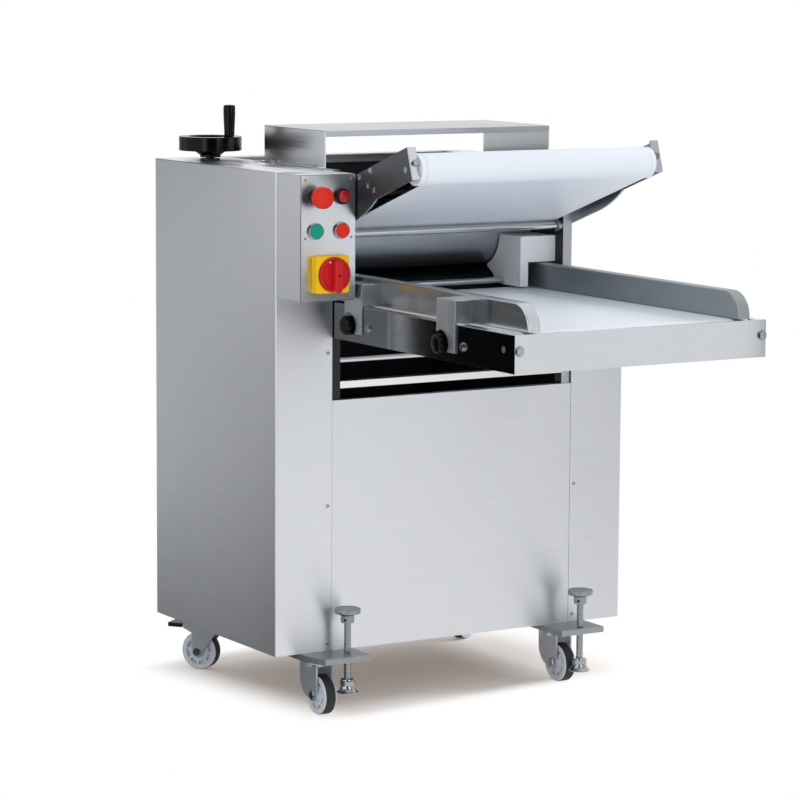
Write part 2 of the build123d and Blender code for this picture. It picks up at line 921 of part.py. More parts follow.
# Gear motor flanged to the left frame plate
with BuildPart() as gear_motor:
    gearbox_right = gearbox_length - plate_in
    motor_right = gearbox_right + motor_length
    half_side = gearbox_side / 2
    block(
        -plate_in,
        gearbox_right,
        motor_y - half_side,
        motor_y + half_side,
        motor_height - half_side,
        motor_height + half_side,
    )
    bar_x(gearbox_right, motor_right, motor_y, motor_height, motor_radius)
    block(
        gearbox_right + motor_length / 4,
        gearbox_right + motor_length * 0.6,
        motor_y - motor_radius / 2,
        motor_y + motor_radius / 2,
        motor_height,
        motor_height + motor_radius * 1.4,
    )
    bar_x(
        -plate_in,
        gearbox_right - gearbox_length / 2,
        motor_y,
        motor_height,
        motor_shaft_radius + running,
        mode=Mode.SUBTRACT,
    )
keep(gear_motor.part, "gear_motor")

# Output shaft of the gear motor with its sprocket
with BuildPart() as motor_sprocket:
    bar_x(
        -motor_lane - chain_width / 2 - room,
        -plate_in + gearbox_length / 2 - room,
        motor_y,
        motor_height,
        motor_shaft_radius,
    )
    disc(motor_lane, motor_y, motor_height, motor_sprocket_radius, chain_width)
keep(motor_sprocket.part, "motor_sprocket")


def counter_gear(z, turn):
    """Adds one of the two equal gears that reverse the drive of the upper conveyor."""
    with BuildSketch(side_plane(-counter_lane - chain_width / 2, upper_rear_y, z)) as wheel:
        add(
            gear_face(
                counter_drop / 2,
                counter_addendum,
                counter_dedendum,
                counter_teeth,
                gear_tooth_share,
                turn,
            )
        )
    extrude(wheel.sketch, amount=chain_width)


# Counter shaft that reverses the drive for the upper conveyor
with BuildPart() as counter_shaft:
    bar_x(
        -counter_lane - chain_width / 2 - room,
        -plate_in,
        upper_rear_y,
        counter_height,
        pulley_shaft_radius,
    )
    disc(upper_lane, upper_rear_y, counter_height, small_sprocket_radius, chain_width)
    counter_gear(counter_height, 90)
keep(counter_shaft.part, "counter_shaft")

# Rear drive roller of the upper conveyor, with a tooth gap facing the counter gear's top tooth
with BuildPart() as upper_rear_roller:
    roller_solid(
        upper_belt_half,
        pulley_radius,
        upper_rear_y,
        upper_rear_height,
        -counter_lane - chain_width / 2 - room,
        plate_out + upper_plate_thickness + room,
        pulley_shaft_radius,
    )
    counter_gear(upper_rear_height, 180 / counter_teeth - 90)
keep(upper_rear_roller.part, "upper_rear_roller")

# Front idler roller of the upper conveyor
with BuildPart() as upper_front_roller:
    idler_end = plate_out + upper_plate_thickness
    roller_solid(
        upper_belt_half,
        pulley_radius,
        upper_front_y,
        upper_front_height,
        -idler_end,
        idler_end,
        idler_shaft_radius,
    )
keep(upper_front_roller.part, "upper_front_roller")

# Upper conveyor frame: two side plates with end flanges, the slider bed and its cross tubes
with BuildPart() as upper_frame:
    tail = upper_run + upper_plate_tail
    low_edge = -upper_plate_low - upper_plate_bulge
    for side in (-1, 1):
        plate_faces = sorted((side * plate_out, side * (plate_out + upper_plate_thickness)))
        with BuildSketch(slope_plane(plate_faces[0])):
            with BuildLine():
                Polyline(
                    (upper_run / 3, -upper_plate_low),
                    (-upper_plate_nose, -upper_plate_low),
                    (-upper_plate_nose, upper_plate_high),
                    (tail, upper_plate_high),
                    (tail, low_edge),
                    (upper_run * 0.6, low_edge),
                )
                ThreePointArc(
                    (upper_run * 0.6, low_edge),
                    (upper_run * 0.445, low_edge + upper_plate_bulge / 3),
                    (upper_run / 3, -upper_plate_low),
                )
            make_face()
            Circle(idler_shaft_radius + running, mode=Mode.SUBTRACT)
            with Locations((upper_run, 0)):
                Circle(pulley_shaft_radius + running, mode=Mode.SUBTRACT)
        extrude(amount=upper_plate_thickness)
        flange_faces = sorted((side * plate_out, side * (plate_out - upper_flange_width)))
        with BuildSketch(slope_plane(flange_faces[0])):
            flange_middle = (upper_plate_high - upper_plate_low) / 2
            with Locations((upper_flange_thickness / 2 - upper_plate_nose, flange_middle)):
                Rectangle(upper_flange_thickness, upper_plate_high + upper_plate_low)
        extrude(amount=upper_flange_width)
    bed_top = belt_inner - room
    with BuildSketch(slope_plane(-upper_belt_half)):
        with Locations((upper_run / 2, bed_top - bed_thickness / 2)):
            Rectangle(upper_run - 2 * bed_end_gap, bed_thickness)
    extrude(amount=2 * upper_belt_half)
    tube_middle = bed_top - bed_thickness - cross_tube_radius + room
    with BuildSketch(slope_plane(-plate_out)):
        with Locations((upper_tube_first, tube_middle), (upper_tube_second, tube_middle)):
            Circle(cross_tube_radius)
    extrude(amount=2 * plate_out)
keep(upper_frame.part, "upper_frame")

# Upper belt, a closed loop round its two rollers
with BuildPart() as upper_belt:
    belt_plane = slope_plane(-upper_belt_half)
    belt_outside = loop_face((0, 0), belt_radius, (upper_run, 0), belt_radius)
    belt_inside = loop_face((0, 0), belt_inner, (upper_run, 0), belt_inner)
    extrude(belt_plane * belt_outside, amount=2 * upper_belt_half)
    extrude(belt_plane * belt_inside, amount=2 * upper_belt_half, mode=Mode.SUBTRACT)
keep(upper_belt.part, "upper_belt")

# Table frame: side plates with inward flanges, front cap, slider bed and its cross bars
tension_bolt_x = table_half - tension_bolt_radius - room
with BuildPart() as table_frame:
    table_inner = table_half - table_sheet
    table_back = frame_front
    block(-table_half, table_half, table_front, table_front + table_sheet, table_bottom, table_top)
    for side in (-1, 1):
        wall = sorted((side * table_half, side * table_inner))
        block(*wall, table_front, table_back, table_bottom, table_top)
        flange = sorted((side * table_inner, side * (table_belt_half + table_sheet)))
        block(*flange, table_front + table_sheet, table_back, table_top - table_sheet, table_top)
        bar_x(*wall, table_front_y, table_pulley_height, idler_shaft_radius + running, mode=Mode.SUBTRACT)
        bar_y(
            side * tension_bolt_x,
            table_front,
            table_front + table_sheet,
            table_pulley_height,
            tension_shank_radius,
            mode=Mode.SUBTRACT,
        )
    bed_high = table_pulley_height + belt_inner - room
    bed_low = bed_high - bed_thickness
    bed_half = table_belt_half - table_bar_width
    block(
        -bed_half,
        bed_half,
        table_front_y + bed_end_gap,
        table_rear_y - bed_end_gap,
        bed_low,
        bed_high,
    )
    for bar_reach in (table_bar_first, table_bar_second):
        bar_y_middle = table_front + bar_reach
        block(
            -table_inner,
            table_inner,
            bar_y_middle - table_bar_width / 2,
            bar_y_middle + table_bar_width / 2,
            bed_low - table_bar_depth,
            bed_low,
        )
    for bracket_front in bracket_fronts:
        bar_x(
            -table_half,
            -table_inner,
            bracket_front + knob_from_bracket_front,
            knob_height,
            knob_stud_radius + running,
            mode=Mode.SUBTRACT,
        )
keep(table_frame.part, "table_frame")

# Table belt, a closed loop round its two rollers
with BuildPart() as table_belt:
    table_plane = side_plane(-table_belt_half)
    front_axis = (table_front_y, table_pulley_height)
    rear_axis = (table_rear_y, table_pulley_height)
    table_outside = loop_face(front_axis, belt_radius, rear_axis, belt_radius)
    table_inside = loop_face(front_axis, belt_inner, rear_axis, belt_inner)
    extrude(table_plane * table_outside, amount=2 * table_belt_half)
    extrude(table_plane * table_inside, amount=2 * table_belt_half, mode=Mode.SUBTRACT)
keep(table_belt.part, "table_belt")

# Front idler roller and rear drive roller of the table
with BuildPart() as table_front_roller:
    roller_solid(
        table_belt_half,
        pulley_radius,
        table_front_y,
        table_pulley_height,
        -table_half,
        table_half,
        idler_shaft_radius,
    )
keep(table_front_roller.part, "table_front_roller")

with BuildPart() as table_rear_roller:
    roller_solid(
        table_belt_half,
        pulley_radius,
        table_rear_y,
        table_pulley_height,
        -table_lane - chain_width / 2 - room,
        plate_out,
        pulley_shaft_radius,
    )
    disc(table_lane, table_rear_y, table_pulley_height, small_sprocket_radius, chain_width)
keep(table_rear_roller.part, "table_rear_roller")

# Pair of dough guides on the frame plates, cut clear of both rollers
with BuildPart() as dough_guides:
    guide_near = front + guide_front
    guide_far = front + guide_back
    for side, inner in ((-1, left_guide_inner), (1, guide_inner)):
        upper_faces = sorted((side * inner, side * plate_in))
        lower_faces = sorted((side * inner, side * (inner + guide_lower_width)))
        block(*upper_faces, guide_near, guide_far, guide_step, guide_top)
        block(*lower_faces, guide_near, guide_far, guide_bottom, guide_step)
    for roller_height in (lower_roller_height, upper_roller_height):
        bar_x(
            -plate_in,
            plate_in,
            roller_y,
            roller_height,
            roller_radius + guide_roller_gap,
            mode=Mode.SUBTRACT,
        )
keep(dough_guides.part, "dough_guides")


def guard_face(shrink):
    """Side outline of a dough guard with its rounded nose, moved inwards by shrink except at the bottom."""
    guard_near = table_front + guard_front_gap
    guard_far = front + guard_back - shrink
    nose_height = guard_top - guard_nose
    with BuildSketch() as outline:
        with BuildLine():
            Polyline(
                (guard_near + shrink, nose_height),
                (guard_near + shrink, guard_bottom),
                (guard_far, guard_bottom),
                (guard_far, guard_top - shrink),
                (guard_near + guard_nose, guard_top - shrink),
            )
            CenterArc((guard_near + guard_nose, nose_height), guard_nose - shrink, 90, 90)
        make_face()
    return outline.sketch


# Side guards, bent box sections open at the bottom
for side, guard_name in ((-1, "left_guard"), (1, "right_guard")):
    guard_low = min(side * guard_outer, side * (guard_outer - guard_width))
    with BuildPart() as guard:
        extrude(side_plane(guard_low) * guard_face(0), amount=guard_width)
        extrude(
            side_plane(guard_low + guard_sheet) * guard_face(guard_sheet),
            amount=guard_width - 2 * guard_sheet,
            mode=Mode.SUBTRACT,
        )
    keep(guard.part, guard_name)

# Brackets that carry the guards over the table's side plates
bracket_out = table_half + bracket_sheet
with BuildPart() as guard_brackets:
    for bracket_front in bracket_fronts:
        bracket_back = bracket_front + bracket_width
        for side in (-1, 1):
            wall_faces = sorted((side * table_half, side * bracket_out))
            top_faces = sorted((side * guard_outer, side * bracket_out))
            block(*wall_faces, bracket_front, bracket_back, bracket_bottom, bracket_top)
            block(*top_faces, bracket_front, bracket_back, bracket_top - bracket_sheet, bracket_top)
            block(*top_faces, bracket_front, bracket_front + bracket_sheet, guard_bottom, bracket_top)
            bar_x(
                *wall_faces,
                bracket_front + knob_from_bracket_front,
                knob_height,
                knob_radius + knob_relief,
                mode=Mode.SUBTRACT,
            )
keep(guard_brackets.part, "guard_brackets")

# Clamping knobs of the left guard
for bracket_front, knob_name in zip(bracket_fronts, ("front_guard_knob", "rear_guard_knob")):
    knob_y = bracket_front + knob_from_bracket_front
    with BuildPart() as guard_knob:
        knob_face = table_half + clearance
        bar_x(-knob_face - knob_thickness, -knob_face, knob_y, knob_height, knob_radius)
        bar_x(-knob_face, -table_half + 3 * table_sheet, knob_y, knob_height, knob_stud_radius)
    keep(guard_knob.part, knob_name)

# Control box, open towards its face plate
control_right = control_left + control_width
control_bottom = cabinet_top - control_height
with BuildPart() as control_box:
    box_front = control_front + control_face_thickness
    block(control_left, control_right, box_front, front, control_bottom, cabinet_top)
    block(
        control_left + sheet,
        control_right - sheet,
        box_front,
        front - sheet,
        control_bottom + sheet,
        cabinet_top - sheet,
        mode=Mode.SUBTRACT,
    )
keep(control_box.part, "control_box")

# Control face plate with its bores
column_first = control_left + control_column_first
column_second = control_left + control_column_second
switch_x = control_left + control_width / 2
with BuildPart() as control_face:
    block(control_left, control_right, control_front, box_front, control_bottom, cabinet_top)
    for column in (column_first, column_second):
        for row in (control_row_top, control_row_middle):
            bar_y(column, control_front, box_front, row, button_bore, mode=Mode.SUBTRACT)
    bar_y(
        switch_x,
        control_front,
        box_front,
        control_row_switch,
        switch_stem_radius + running,
        mode=Mode.SUBTRACT,
    )
keep(control_face.part, "control_face")

# Bezels, stop collar and lamp, each with its body behind the face plate
with BuildPart() as panel_fittings:
    fitting_back = box_front + fitting_depth
    for column in (column_first, column_second):
        for row in (control_row_top, control_row_middle):
            bar_y(column, control_front, box_front, row, button_bore)
            bar_y(column, box_front, fitting_back, row, fitting_radius)
        bar_y(column, control_front - bezel_stand, control_front, control_row_middle, bezel_radius)
        bar_y(
            column,
            control_front - bezel_stand,
            control_front,
            control_row_middle,
            button_radius + clearance,
            mode=Mode.SUBTRACT,
        )
        bar_y(
            column,
            control_front,
            fitting_back,
            control_row_middle,
            button_stem + running,
            mode=Mode.SUBTRACT,
        )
    collar_front = control_front - stop_collar_stand
    bar_y(column_first, collar_front, control_front, control_row_top, stop_collar_radius)
    bar_y(
        column_first,
        collar_front,
        fitting_back,
        control_row_top,
        button_stem + running,
        mode=Mode.SUBTRACT,
    )
    lamp_shoulder = control_front - lamp_stand / 2
    bar_y(column_second, lamp_shoulder, control_front, control_row_top, lamp_radius)
    bar_y(column_second, control_front - lamp_stand, lamp_shoulder, control_row_top, lens_radius)
keep(panel_fittings.part, "panel_fittings")

# Square plate under the rotary switch
with BuildPart() as switch_plate:
    half_side = switch_plate_side / 2
    plate_front = control_front - switch_plate_stand
    block(
        switch_x - half_side,
        switch_x + half_side,
        plate_front,
        control_front,
        control_row_switch - half_side,
        control_row_switch + half_side,
    )
    fillet(switch_plate.edges().filter_by(Axis.Y), radius=2 * sheet)
    bar_y(
        switch_x,
        plate_front,
        control_front,
        control_row_switch,
        switch_stem_radius + running,
        mode=Mode.SUBTRACT,
    )
keep(switch_plate.part, "switch_plate")

# Emergency stop head on its stem
with BuildPart() as estop_head:
    head_back = control_front - stop_collar_stand - stop_gap
    bar_y(column_first, head_back - stop_head_height, head_back, control_row_top, stop_head_radius)
    fillet(estop_head.faces().sort_by(Axis.Y)[0].edges(), radius=stop_head_height / 3)
    bar_y(column_first, head_back, box_front + fitting_depth / 2, control_row_top, button_stem)
keep(estop_head.part, "estop_head")

# Start and stop push buttons on their stems
for column, button_name in ((column_first, "start_button"), (column_second, "stop_button")):
    with BuildPart() as push_button:
        cap_front = control_front - button_stand
        cap_back = cap_front + button_cap
        bar_y(column, cap_front, cap_back, control_row_middle, button_radius)
        fillet(push_button.faces().sort_by(Axis.Y)[0].edges(), radius=room)
        bar_y(column, cap_back, box_front + fitting_depth / 2, control_row_middle, button_stem)
    keep(push_button.part, button_name)

# Rotary switch dial with its raised ridge
with BuildPart() as switch_dial:
    dial_back = plate_front - clearance
    dial_front = dial_back - switch_dial_thickness
    bar_y(switch_x, dial_front, dial_back, control_row_switch, switch_dial_radius)
    ridge_half = switch_dial_radius - switch_ridge_margin
    block(
        switch_x - switch_ridge_width / 2,
        switch_x + switch_ridge_width / 2,
        dial_front - switch_ridge_height,
        dial_front,
        control_row_switch - ridge_half,
        control_row_switch + ridge_half,
    )
    bar_y(switch_x, dial_back, box_front + fitting_depth / 2, control_row_switch, switch_stem_radius)
keep(switch_dial.part, "switch_dial")


def head_x(x, direction, y, z, radius, stand):
    """Adds a hexagonal bolt head that stands off a plate along X."""
    low = min(x, x + direction * stand)
    with BuildSketch() as head:
        RegularPolygon(radius, 6)
    extrude(side_plane(low, y, z) * head.sketch, amount=stand)


# Screws of the housings and the control face, and the bolts of both conveyors
with BuildPart() as fasteners:
    housing_screw_x = plate_out + screw_inset
    for rise in (housing_screw_low, housing_screw_middle, housing_screw_high):
        bar_y(-housing_screw_x, front - screw_stand, front, ground_clearance + rise, screw_radius)
    for rise in (housing_screw_low, housing_screw_middle):
        bar_y(housing_screw_x, front - screw_stand, front, ground_clearance + rise, screw_radius)
    for column in (control_left + screw_inset, control_right - screw_inset):
        for row in (
            control_bottom + screw_inset,
            (control_bottom + cabinet_top) / 2,
            cabinet_top - screw_inset,
        ):
            bar_y(column, control_front - small_screw_stand, control_front, row, small_screw_radius)
    slope_across = sin(radians(upper_slope))
    slope_along = cos(radians(upper_slope))
    for side in (-1, 1):
        bolt_x = side * tension_bolt_x
        bolt_origin = (bolt_x, table_front, table_pulley_height)
        with BuildSketch(Plane(bolt_origin, x_dir=(1, 0, 0), z_dir=(0, -1, 0))):
            RegularPolygon(tension_bolt_radius, 6)
        extrude(amount=tension_bolt_stand)
        shank_end = table_front_y - idler_shaft_radius - clearance
        bar_y(bolt_x, table_front, shank_end, table_pulley_height, tension_shank_radius)
        for bar_reach in (table_bar_first, table_bar_second):
            head_x(
                side * table_half,
                side,
                table_front + bar_reach,
                knob_height,
                side_bolt_radius,
                side_bolt_stand,
            )
        flange_bolt_x = side * (plate_out - upper_flange_width / 2)
        flange_rise = (upper_plate_high - upper_plate_low) / 2
        flange_origin = (
            flange_bolt_x,
            upper_front_y - upper_plate_nose * slope_along + flange_rise * slope_across,
            upper_front_height + upper_plate_nose * slope_across + flange_rise * slope_along,
        )
        with BuildSketch(Plane(flange_origin, x_dir=(1, 0, 0), z_dir=(0, -slope_along, slope_across))):
            RegularPolygon(upper_flange_width / 2 - room, 6)
        extrude(amount=tension_bolt_stand)
        for share, across in ((0.34, 0.8), (0.47, 0.8), (0.4, 0.2), (0.345, -0.15)):
            along = share * upper_run
            rise = across * upper_plate_high
            head_x(
                side * (plate_out + upper_plate_thickness),
                side,
                upper_front_y + along * slope_along + rise * slope_across,
                upper_front_height - along * slope_across + rise * slope_along,
                plate_bolt_radius,
                plate_bolt_stand,
            )
    for bracket_front in bracket_fronts:
        knob_y = bracket_front + knob_from_bracket_front
        head_x(table_half, 1, knob_y, knob_height, side_bolt_radius, side_bolt_stand)
keep(fasteners.part, "fasteners")

# Caster places: swivel axis, trail direction, brake and name
rear_caster_x = half_width - rear_caster_inset
rear_caster_y = front + rear_caster_setback
front_left_y = front + front_left_caster_setback
front_right_y = front + front_right_caster_setback
casters = (
    ("front_left", front_left_caster_x, front_left_y, front_turn, False),
    ("front_right", front_right_caster_x, front_right_y, front_turn, False),
    ("rear_left", -rear_caster_x, rear_caster_y, rear_left_turn, True),
    ("rear_right", rear_caster_x, rear_caster_y, rear_right_turn, True),
)
jacks = (
    ("left", left_plate_x, front_left_caster_x, left_jack_x, front - left_jack_reach, left_jack_raise),
    ("right", right_plate_x, front_right_caster_x, right_jack_x, front - right_jack_reach, right_jack_raise),
)

# Thick front plates for casters and jacks, rear pads, and the casters' own top plates with their races
with BuildPart() as mounting_plates:
    for _, plate_x, caster_x, jack_x, jack_y, _ in jacks:
        plate_left = min(plate_x - mount_plate_half, caster_x - caster_plate_side / 2 - mount_plate_rim)
        plate_right = plate_x + mount_plate_half
        with BuildSketch(Plane((0, 0, mount_plate_bottom))):
            Polygon(
                (plate_right, front - mount_plate_front),
                (plate_x - mount_plate_half, front - mount_plate_front),
                (plate_left, front - mount_plate_half / 2),
                (plate_left, front + mount_plate_back),
                (plate_right, front + mount_plate_back),
                align=None,
            )
        extrude(amount=mount_plate_thickness)
        post(
            jack_x,
            jack_y,
            mount_plate_bottom,
            ground_clearance,
            jack_screw_radius + running,
            mode=Mode.SUBTRACT,
        )
    for _, caster_x, caster_y, _, braked in casters:
        if braked:
            pad_half = rear_pad_side / 2
            block(
                caster_x - pad_half,
                caster_x + pad_half,
                caster_y - pad_half,
                caster_y + pad_half,
                mount_plate_bottom,
                ground_clearance,
            )
        plate_half = caster_plate_side / 2
        block(
            caster_x - plate_half,
            caster_x + plate_half,
            caster_y - plate_half,
            caster_y + plate_half,
            mount_plate_bottom - caster_plate_thickness,
            mount_plate_bottom,
        )
        post(
            caster_x,
            caster_y,
            caster_race_bottom,
            mount_plate_bottom - caster_plate_thickness,
            caster_race_radius,
        )
        post(
            caster_x,
            caster_y,
            caster_race_bottom,
            mount_plate_bottom,
            kingpin_radius + running,
            mode=Mode.SUBTRACT,
        )
keep(mounting_plates.part, "mounting_plates")


def caster_plane(x, y, turn, across):
    """Upright sketch plane of a caster, first axis along its trail, second up, moved across by an offset."""
    along_x = cos(radians(turn))
    along_y = sin(radians(turn))
    origin = (x + across * along_y, y - across * along_x, 0)
    return Plane(origin, x_dir=(along_x, along_y, 0), z_dir=(along_y, -along_x, 0))


def cross_pin(x, y, turn, along, height, radius, low, high, mode=Mode.ADD):
    """Adds a pin across a caster between two offsets from its middle plane."""
    with BuildSketch() as end:
        with Locations((along, height)):
            Circle(radius)
    extrude(caster_plane(x, y, turn, low) * end.sketch, amount=high - low, mode=mode)


def fork_leg_face(braked):
    """Side outline of a fork leg, with an eye for the pedal pin when it has a brake."""
    with BuildSketch() as leg:
        top = crown_top - caster_crown_height / 2
        Polygon(
            (-caster_crown_radius, top),
            (wheel_trail + fork_foot_radius, top),
            (wheel_trail + fork_foot_radius, wheel_radius),
            (wheel_trail - fork_foot_radius, wheel_radius),
            align=None,
        )
        with Locations((wheel_trail, wheel_radius)):
            Circle(fork_foot_radius)
        if braked:
            with Locations((pedal_pivot, pedal_pivot_height)):
                Circle(pedal_eye_radius)
            Polygon(
                (wheel_trail, pedal_pivot_height + pedal_eye_radius),
                (pedal_pivot, pedal_pivot_height + pedal_eye_radius),
                (pedal_pivot, pedal_pivot_height - pedal_eye_radius),
                (wheel_trail, pedal_pivot_height - 3 * pedal_eye_radius),
                align=None,
            )
    return leg.sketch


# Caster forks with kingpin, axle and, at the rear, the pedal pin
for caster_name, caster_x, caster_y, turn, braked in casters:
    with BuildPart() as fork:
        fork_outer = fork_inner + fork_leg
        head_outer = fork_outer + axle_head
        post(caster_x, caster_y, crown_top - caster_crown_height, crown_top, caster_crown_radius)
        post(caster_x, caster_y, crown_top, mount_plate_bottom - room, kingpin_radius)
        for low in (-fork_outer, fork_inner):
            extrude(caster_plane(caster_x, caster_y, turn, low) * fork_leg_face(braked), amount=fork_leg)
        place = (caster_x, caster_y, turn, wheel_trail, wheel_radius)
        cross_pin(*place, axle_radius, -fork_outer, fork_outer)
        cross_pin(*place, axle_head_radius, -head_outer, -fork_outer)
        cross_pin(*place, axle_head_radius, fork_outer, head_outer)
        if braked:
            eye = (caster_x, caster_y, turn, pedal_pivot, pedal_pivot_height)
            cross_pin(*eye, pedal_pin_radius, -fork_outer, fork_outer)
    keep(fork.part, f"{caster_name}_fork")

# Caster wheels with hub, web, rim and tread
for caster_name, caster_x, caster_y, turn, _ in casters:
    with BuildPart() as wheel:
        along_x = cos(radians(turn))
        along_y = sin(radians(turn))
        centre = (caster_x + wheel_trail * along_x, caster_y + wheel_trail * along_y, wheel_radius)
        hub_half = fork_inner - room
        web_half = wheel_web / 2
        half = wheel_width / 2
        rim_outer = wheel_radius - wheel_tread
        bore = axle_radius + running
        with BuildSketch(Plane(centre, x_dir=(along_y, -along_x, 0), z_dir=(-along_x, -along_y, 0))):
            with BuildLine():
                Polyline(
                    (-hub_half, bore),
                    (hub_half, bore),
                    (hub_half, wheel_hub_radius),
                    (web_half, wheel_hub_radius),
                    (web_half, wheel_rim_inner),
                    (half - room, wheel_rim_inner),
                    (half - room, rim_outer),
                    (half, rim_outer),
                    (half, wheel_radius - wheel_edge),
                    (half - wheel_edge, wheel_radius),
                    (wheel_edge - half, wheel_radius),
                    (-half, wheel_radius - wheel_edge),
                    (-half, rim_outer),
                    (room - half, rim_outer),
                    (room - half, wheel_rim_inner),
                    (-web_half, wheel_rim_inner),
                    (-web_half, wheel_hub_radius),
                    (-hub_half, wheel_hub_radius),
                    close=True,
                )
            make_face()
        revolve(axis=Axis(centre, (along_y, -along_x, 0)))
        with BuildSketch() as pockets:
            with Locations((wheel_trail, wheel_radius)):
                with PolarLocations((wheel_hub_radius + wheel_rim_inner) / 2, wheel_pockets):
                    Circle(wheel_pocket_radius)
        extrude(
            caster_plane(caster_x, caster_y, turn, -web_half) * pockets.sketch,
            amount=wheel_web,
            mode=Mode.SUBTRACT,
        )
    keep(wheel.part, f"{caster_name}_wheel")

# Brake pedals of the rear casters
for caster_name, caster_x, caster_y, turn, braked in casters:
    if braked:
        with BuildPart() as pedal:
            pedal_middle = pedal_pivot_height
            neck_end = pedal_pivot + pedal_eye_radius + 2 * room
            neck_half = fork_inner - room
            with BuildSketch() as neck:
                with Locations(((pedal_pivot - pedal_eye_radius + neck_end) / 2, pedal_middle)):
                    Rectangle(neck_end - pedal_pivot + pedal_eye_radius, pedal_thickness)
            extrude(caster_plane(caster_x, caster_y, turn, -neck_half) * neck.sketch, amount=2 * neck_half)
            with BuildSketch() as tread_plate:
                with Locations(((neck_end + pedal_pivot + pedal_length) / 2, pedal_middle)):
                    Rectangle(pedal_pivot + pedal_length - neck_end, pedal_thickness)
            tread_start = caster_plane(caster_x, caster_y, turn, -pedal_width / 2)
            extrude(tread_start * tread_plate.sketch, amount=pedal_width)
            cross_pin(
                caster_x,
                caster_y,
                turn,
                pedal_pivot,
                pedal_pivot_height,
                pedal_pin_radius + running,
                -neck_half,
                neck_half,
                mode=Mode.SUBTRACT,
            )
        keep(pedal.part, f"{caster_name}_pedal")

# Jack feet with their sockets, and jack screws with their knobs
for jack_name, _, _, jack_x, jack_y, raised in jacks:
    foot_top = raised + jack_foot_cone + jack_foot_hub_height
    socket_bottom = foot_top - jack_socket_depth
    with BuildPart() as jack_foot:
        with Locations((jack_x, jack_y, raised + jack_foot_cone / 2)):
            Cone(jack_foot_radius, jack_foot_neck, jack_foot_cone)
        post(jack_x, jack_y, raised + jack_foot_cone, foot_top, jack_foot_hub)
        post(jack_x, jack_y, socket_bottom, foot_top, jack_screw_radius + running, mode=Mode.SUBTRACT)
    keep(jack_foot.part, f"{jack_name}_jack_foot")

    knob_top = raised + jack_length
    cone_bottom = knob_top - jack_knob_rim - jack_knob_cone
    with BuildPart() as jack_screw:
        post(jack_x, jack_y, socket_bottom, knob_top - jack_knob_height, jack_screw_radius)
        post(jack_x, jack_y, knob_top - jack_knob_height, cone_bottom, jack_knob_hub)
        with Locations((jack_x, jack_y, cone_bottom + jack_knob_cone / 2)):
            Cone(jack_knob_hub, jack_knob_radius, jack_knob_cone)
        post(jack_x, jack_y, knob_top - jack_knob_rim, knob_top, jack_knob_radius)
    keep(jack_screw.part, f"{jack_name}_jack_screw")

# Cable gland on the rear panel
with BuildPart() as cable_gland:
    bar_y(gland_x, rear, rear + gland_reach, gland_height, gland_radius)
    bar_y(gland_x, rear, rear + gland_reach, gland_height, gland_bore, mode=Mode.SUBTRACT)
keep(cable_gland.part, "cable_gland")
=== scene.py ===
"""Looks of a dough press on casters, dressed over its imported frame.

Sizes are in millimetres, meshes in metres.
"""

import logging
import math
from contextlib import contextmanager
from dataclasses import dataclass
from enum import Enum
from typing import Callable, Iterable, Iterator, Sequence

import bmesh
import bpy
from mathutils import Matrix, Quaternion, Vector


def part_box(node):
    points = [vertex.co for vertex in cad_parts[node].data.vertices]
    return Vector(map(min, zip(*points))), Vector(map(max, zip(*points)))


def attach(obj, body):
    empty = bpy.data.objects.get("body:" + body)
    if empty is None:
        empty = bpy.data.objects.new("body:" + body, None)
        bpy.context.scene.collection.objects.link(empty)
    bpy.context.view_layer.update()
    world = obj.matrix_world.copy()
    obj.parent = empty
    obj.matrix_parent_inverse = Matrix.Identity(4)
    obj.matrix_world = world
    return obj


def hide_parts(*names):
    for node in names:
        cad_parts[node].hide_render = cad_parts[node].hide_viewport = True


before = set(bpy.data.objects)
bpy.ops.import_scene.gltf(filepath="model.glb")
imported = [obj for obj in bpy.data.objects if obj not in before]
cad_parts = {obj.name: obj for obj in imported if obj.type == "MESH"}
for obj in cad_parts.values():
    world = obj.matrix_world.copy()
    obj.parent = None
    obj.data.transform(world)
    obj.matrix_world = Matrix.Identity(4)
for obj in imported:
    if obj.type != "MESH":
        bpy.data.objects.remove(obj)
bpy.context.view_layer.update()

LOG = logging.getLogger("dough_press")

Piece = bpy.types.Object
Point = tuple[float, float, float]
Pair = tuple[float, float]
Rings = Sequence[Pair]
Spot = tuple[Sequence[float], Sequence[float]]

ORIGIN: Point = (0.0, 0.0, 0.0)
UP: Point = (0.0, 0.0, 1.0)
FORWARD: Point = (0.0, -1.0, 0.0)
BACKWARD: Point = (0.0, 1.0, 0.0)
RIGHT: Point = (1.0, 0.0, 0.0)
SIDES: tuple[int, int] = (-1, 1)

# One millimetre in metres
MM = 0.001

# In metres: points this near are one, on a CAD copy and on a turned piece, and a run this short is none
MERGE = 1e-5
TURNED_MERGE = 1e-6
NO_LENGTH = 1e-7

# Corners in degrees: within a flat, at a cut edge, at a fold, and the sharpest that is shaded smooth
FLAT_CORNER = 0.1
CUT_CORNER = 50.0
FOLD_CORNER = 60.0
SMOOTH_CORNER = 35.0

# Least room beside an edge: for a fold in millimetres, for a deburring in widths of it
FOLD_ROOM = 5.0
DEBURR_ROOM = 2.5

# Least part along an axis: of an edge's direction to run along it, of a face's normal to look along it
RUNS = 0.99
LOOKS = 0.9

# Size of the broad clouds on a finish in millimetres, and the span of two noises added up
CLOUD = 260.0
NOISE_SPAN: Pair = (0.6, 1.4)

# A quarter of a turn, as the shader counts the turn of its stretch
QUARTER_TURN = 0.25

# Index of refraction of the plastics
PLASTIC_IOR = 1.5

# Directions on the floor from the press to the studio's cards
REAR_LEFT: Pair = (-0.519, 0.855)
CAMERA_SIDE: Pair = (-0.519, -0.855)
FRONT_RIGHT: Pair = (0.519, -0.855)


class Pick(Enum):
    """What a selection holds in edit mode."""

    POINTS = "VERT"
    EDGES = "EDGE"


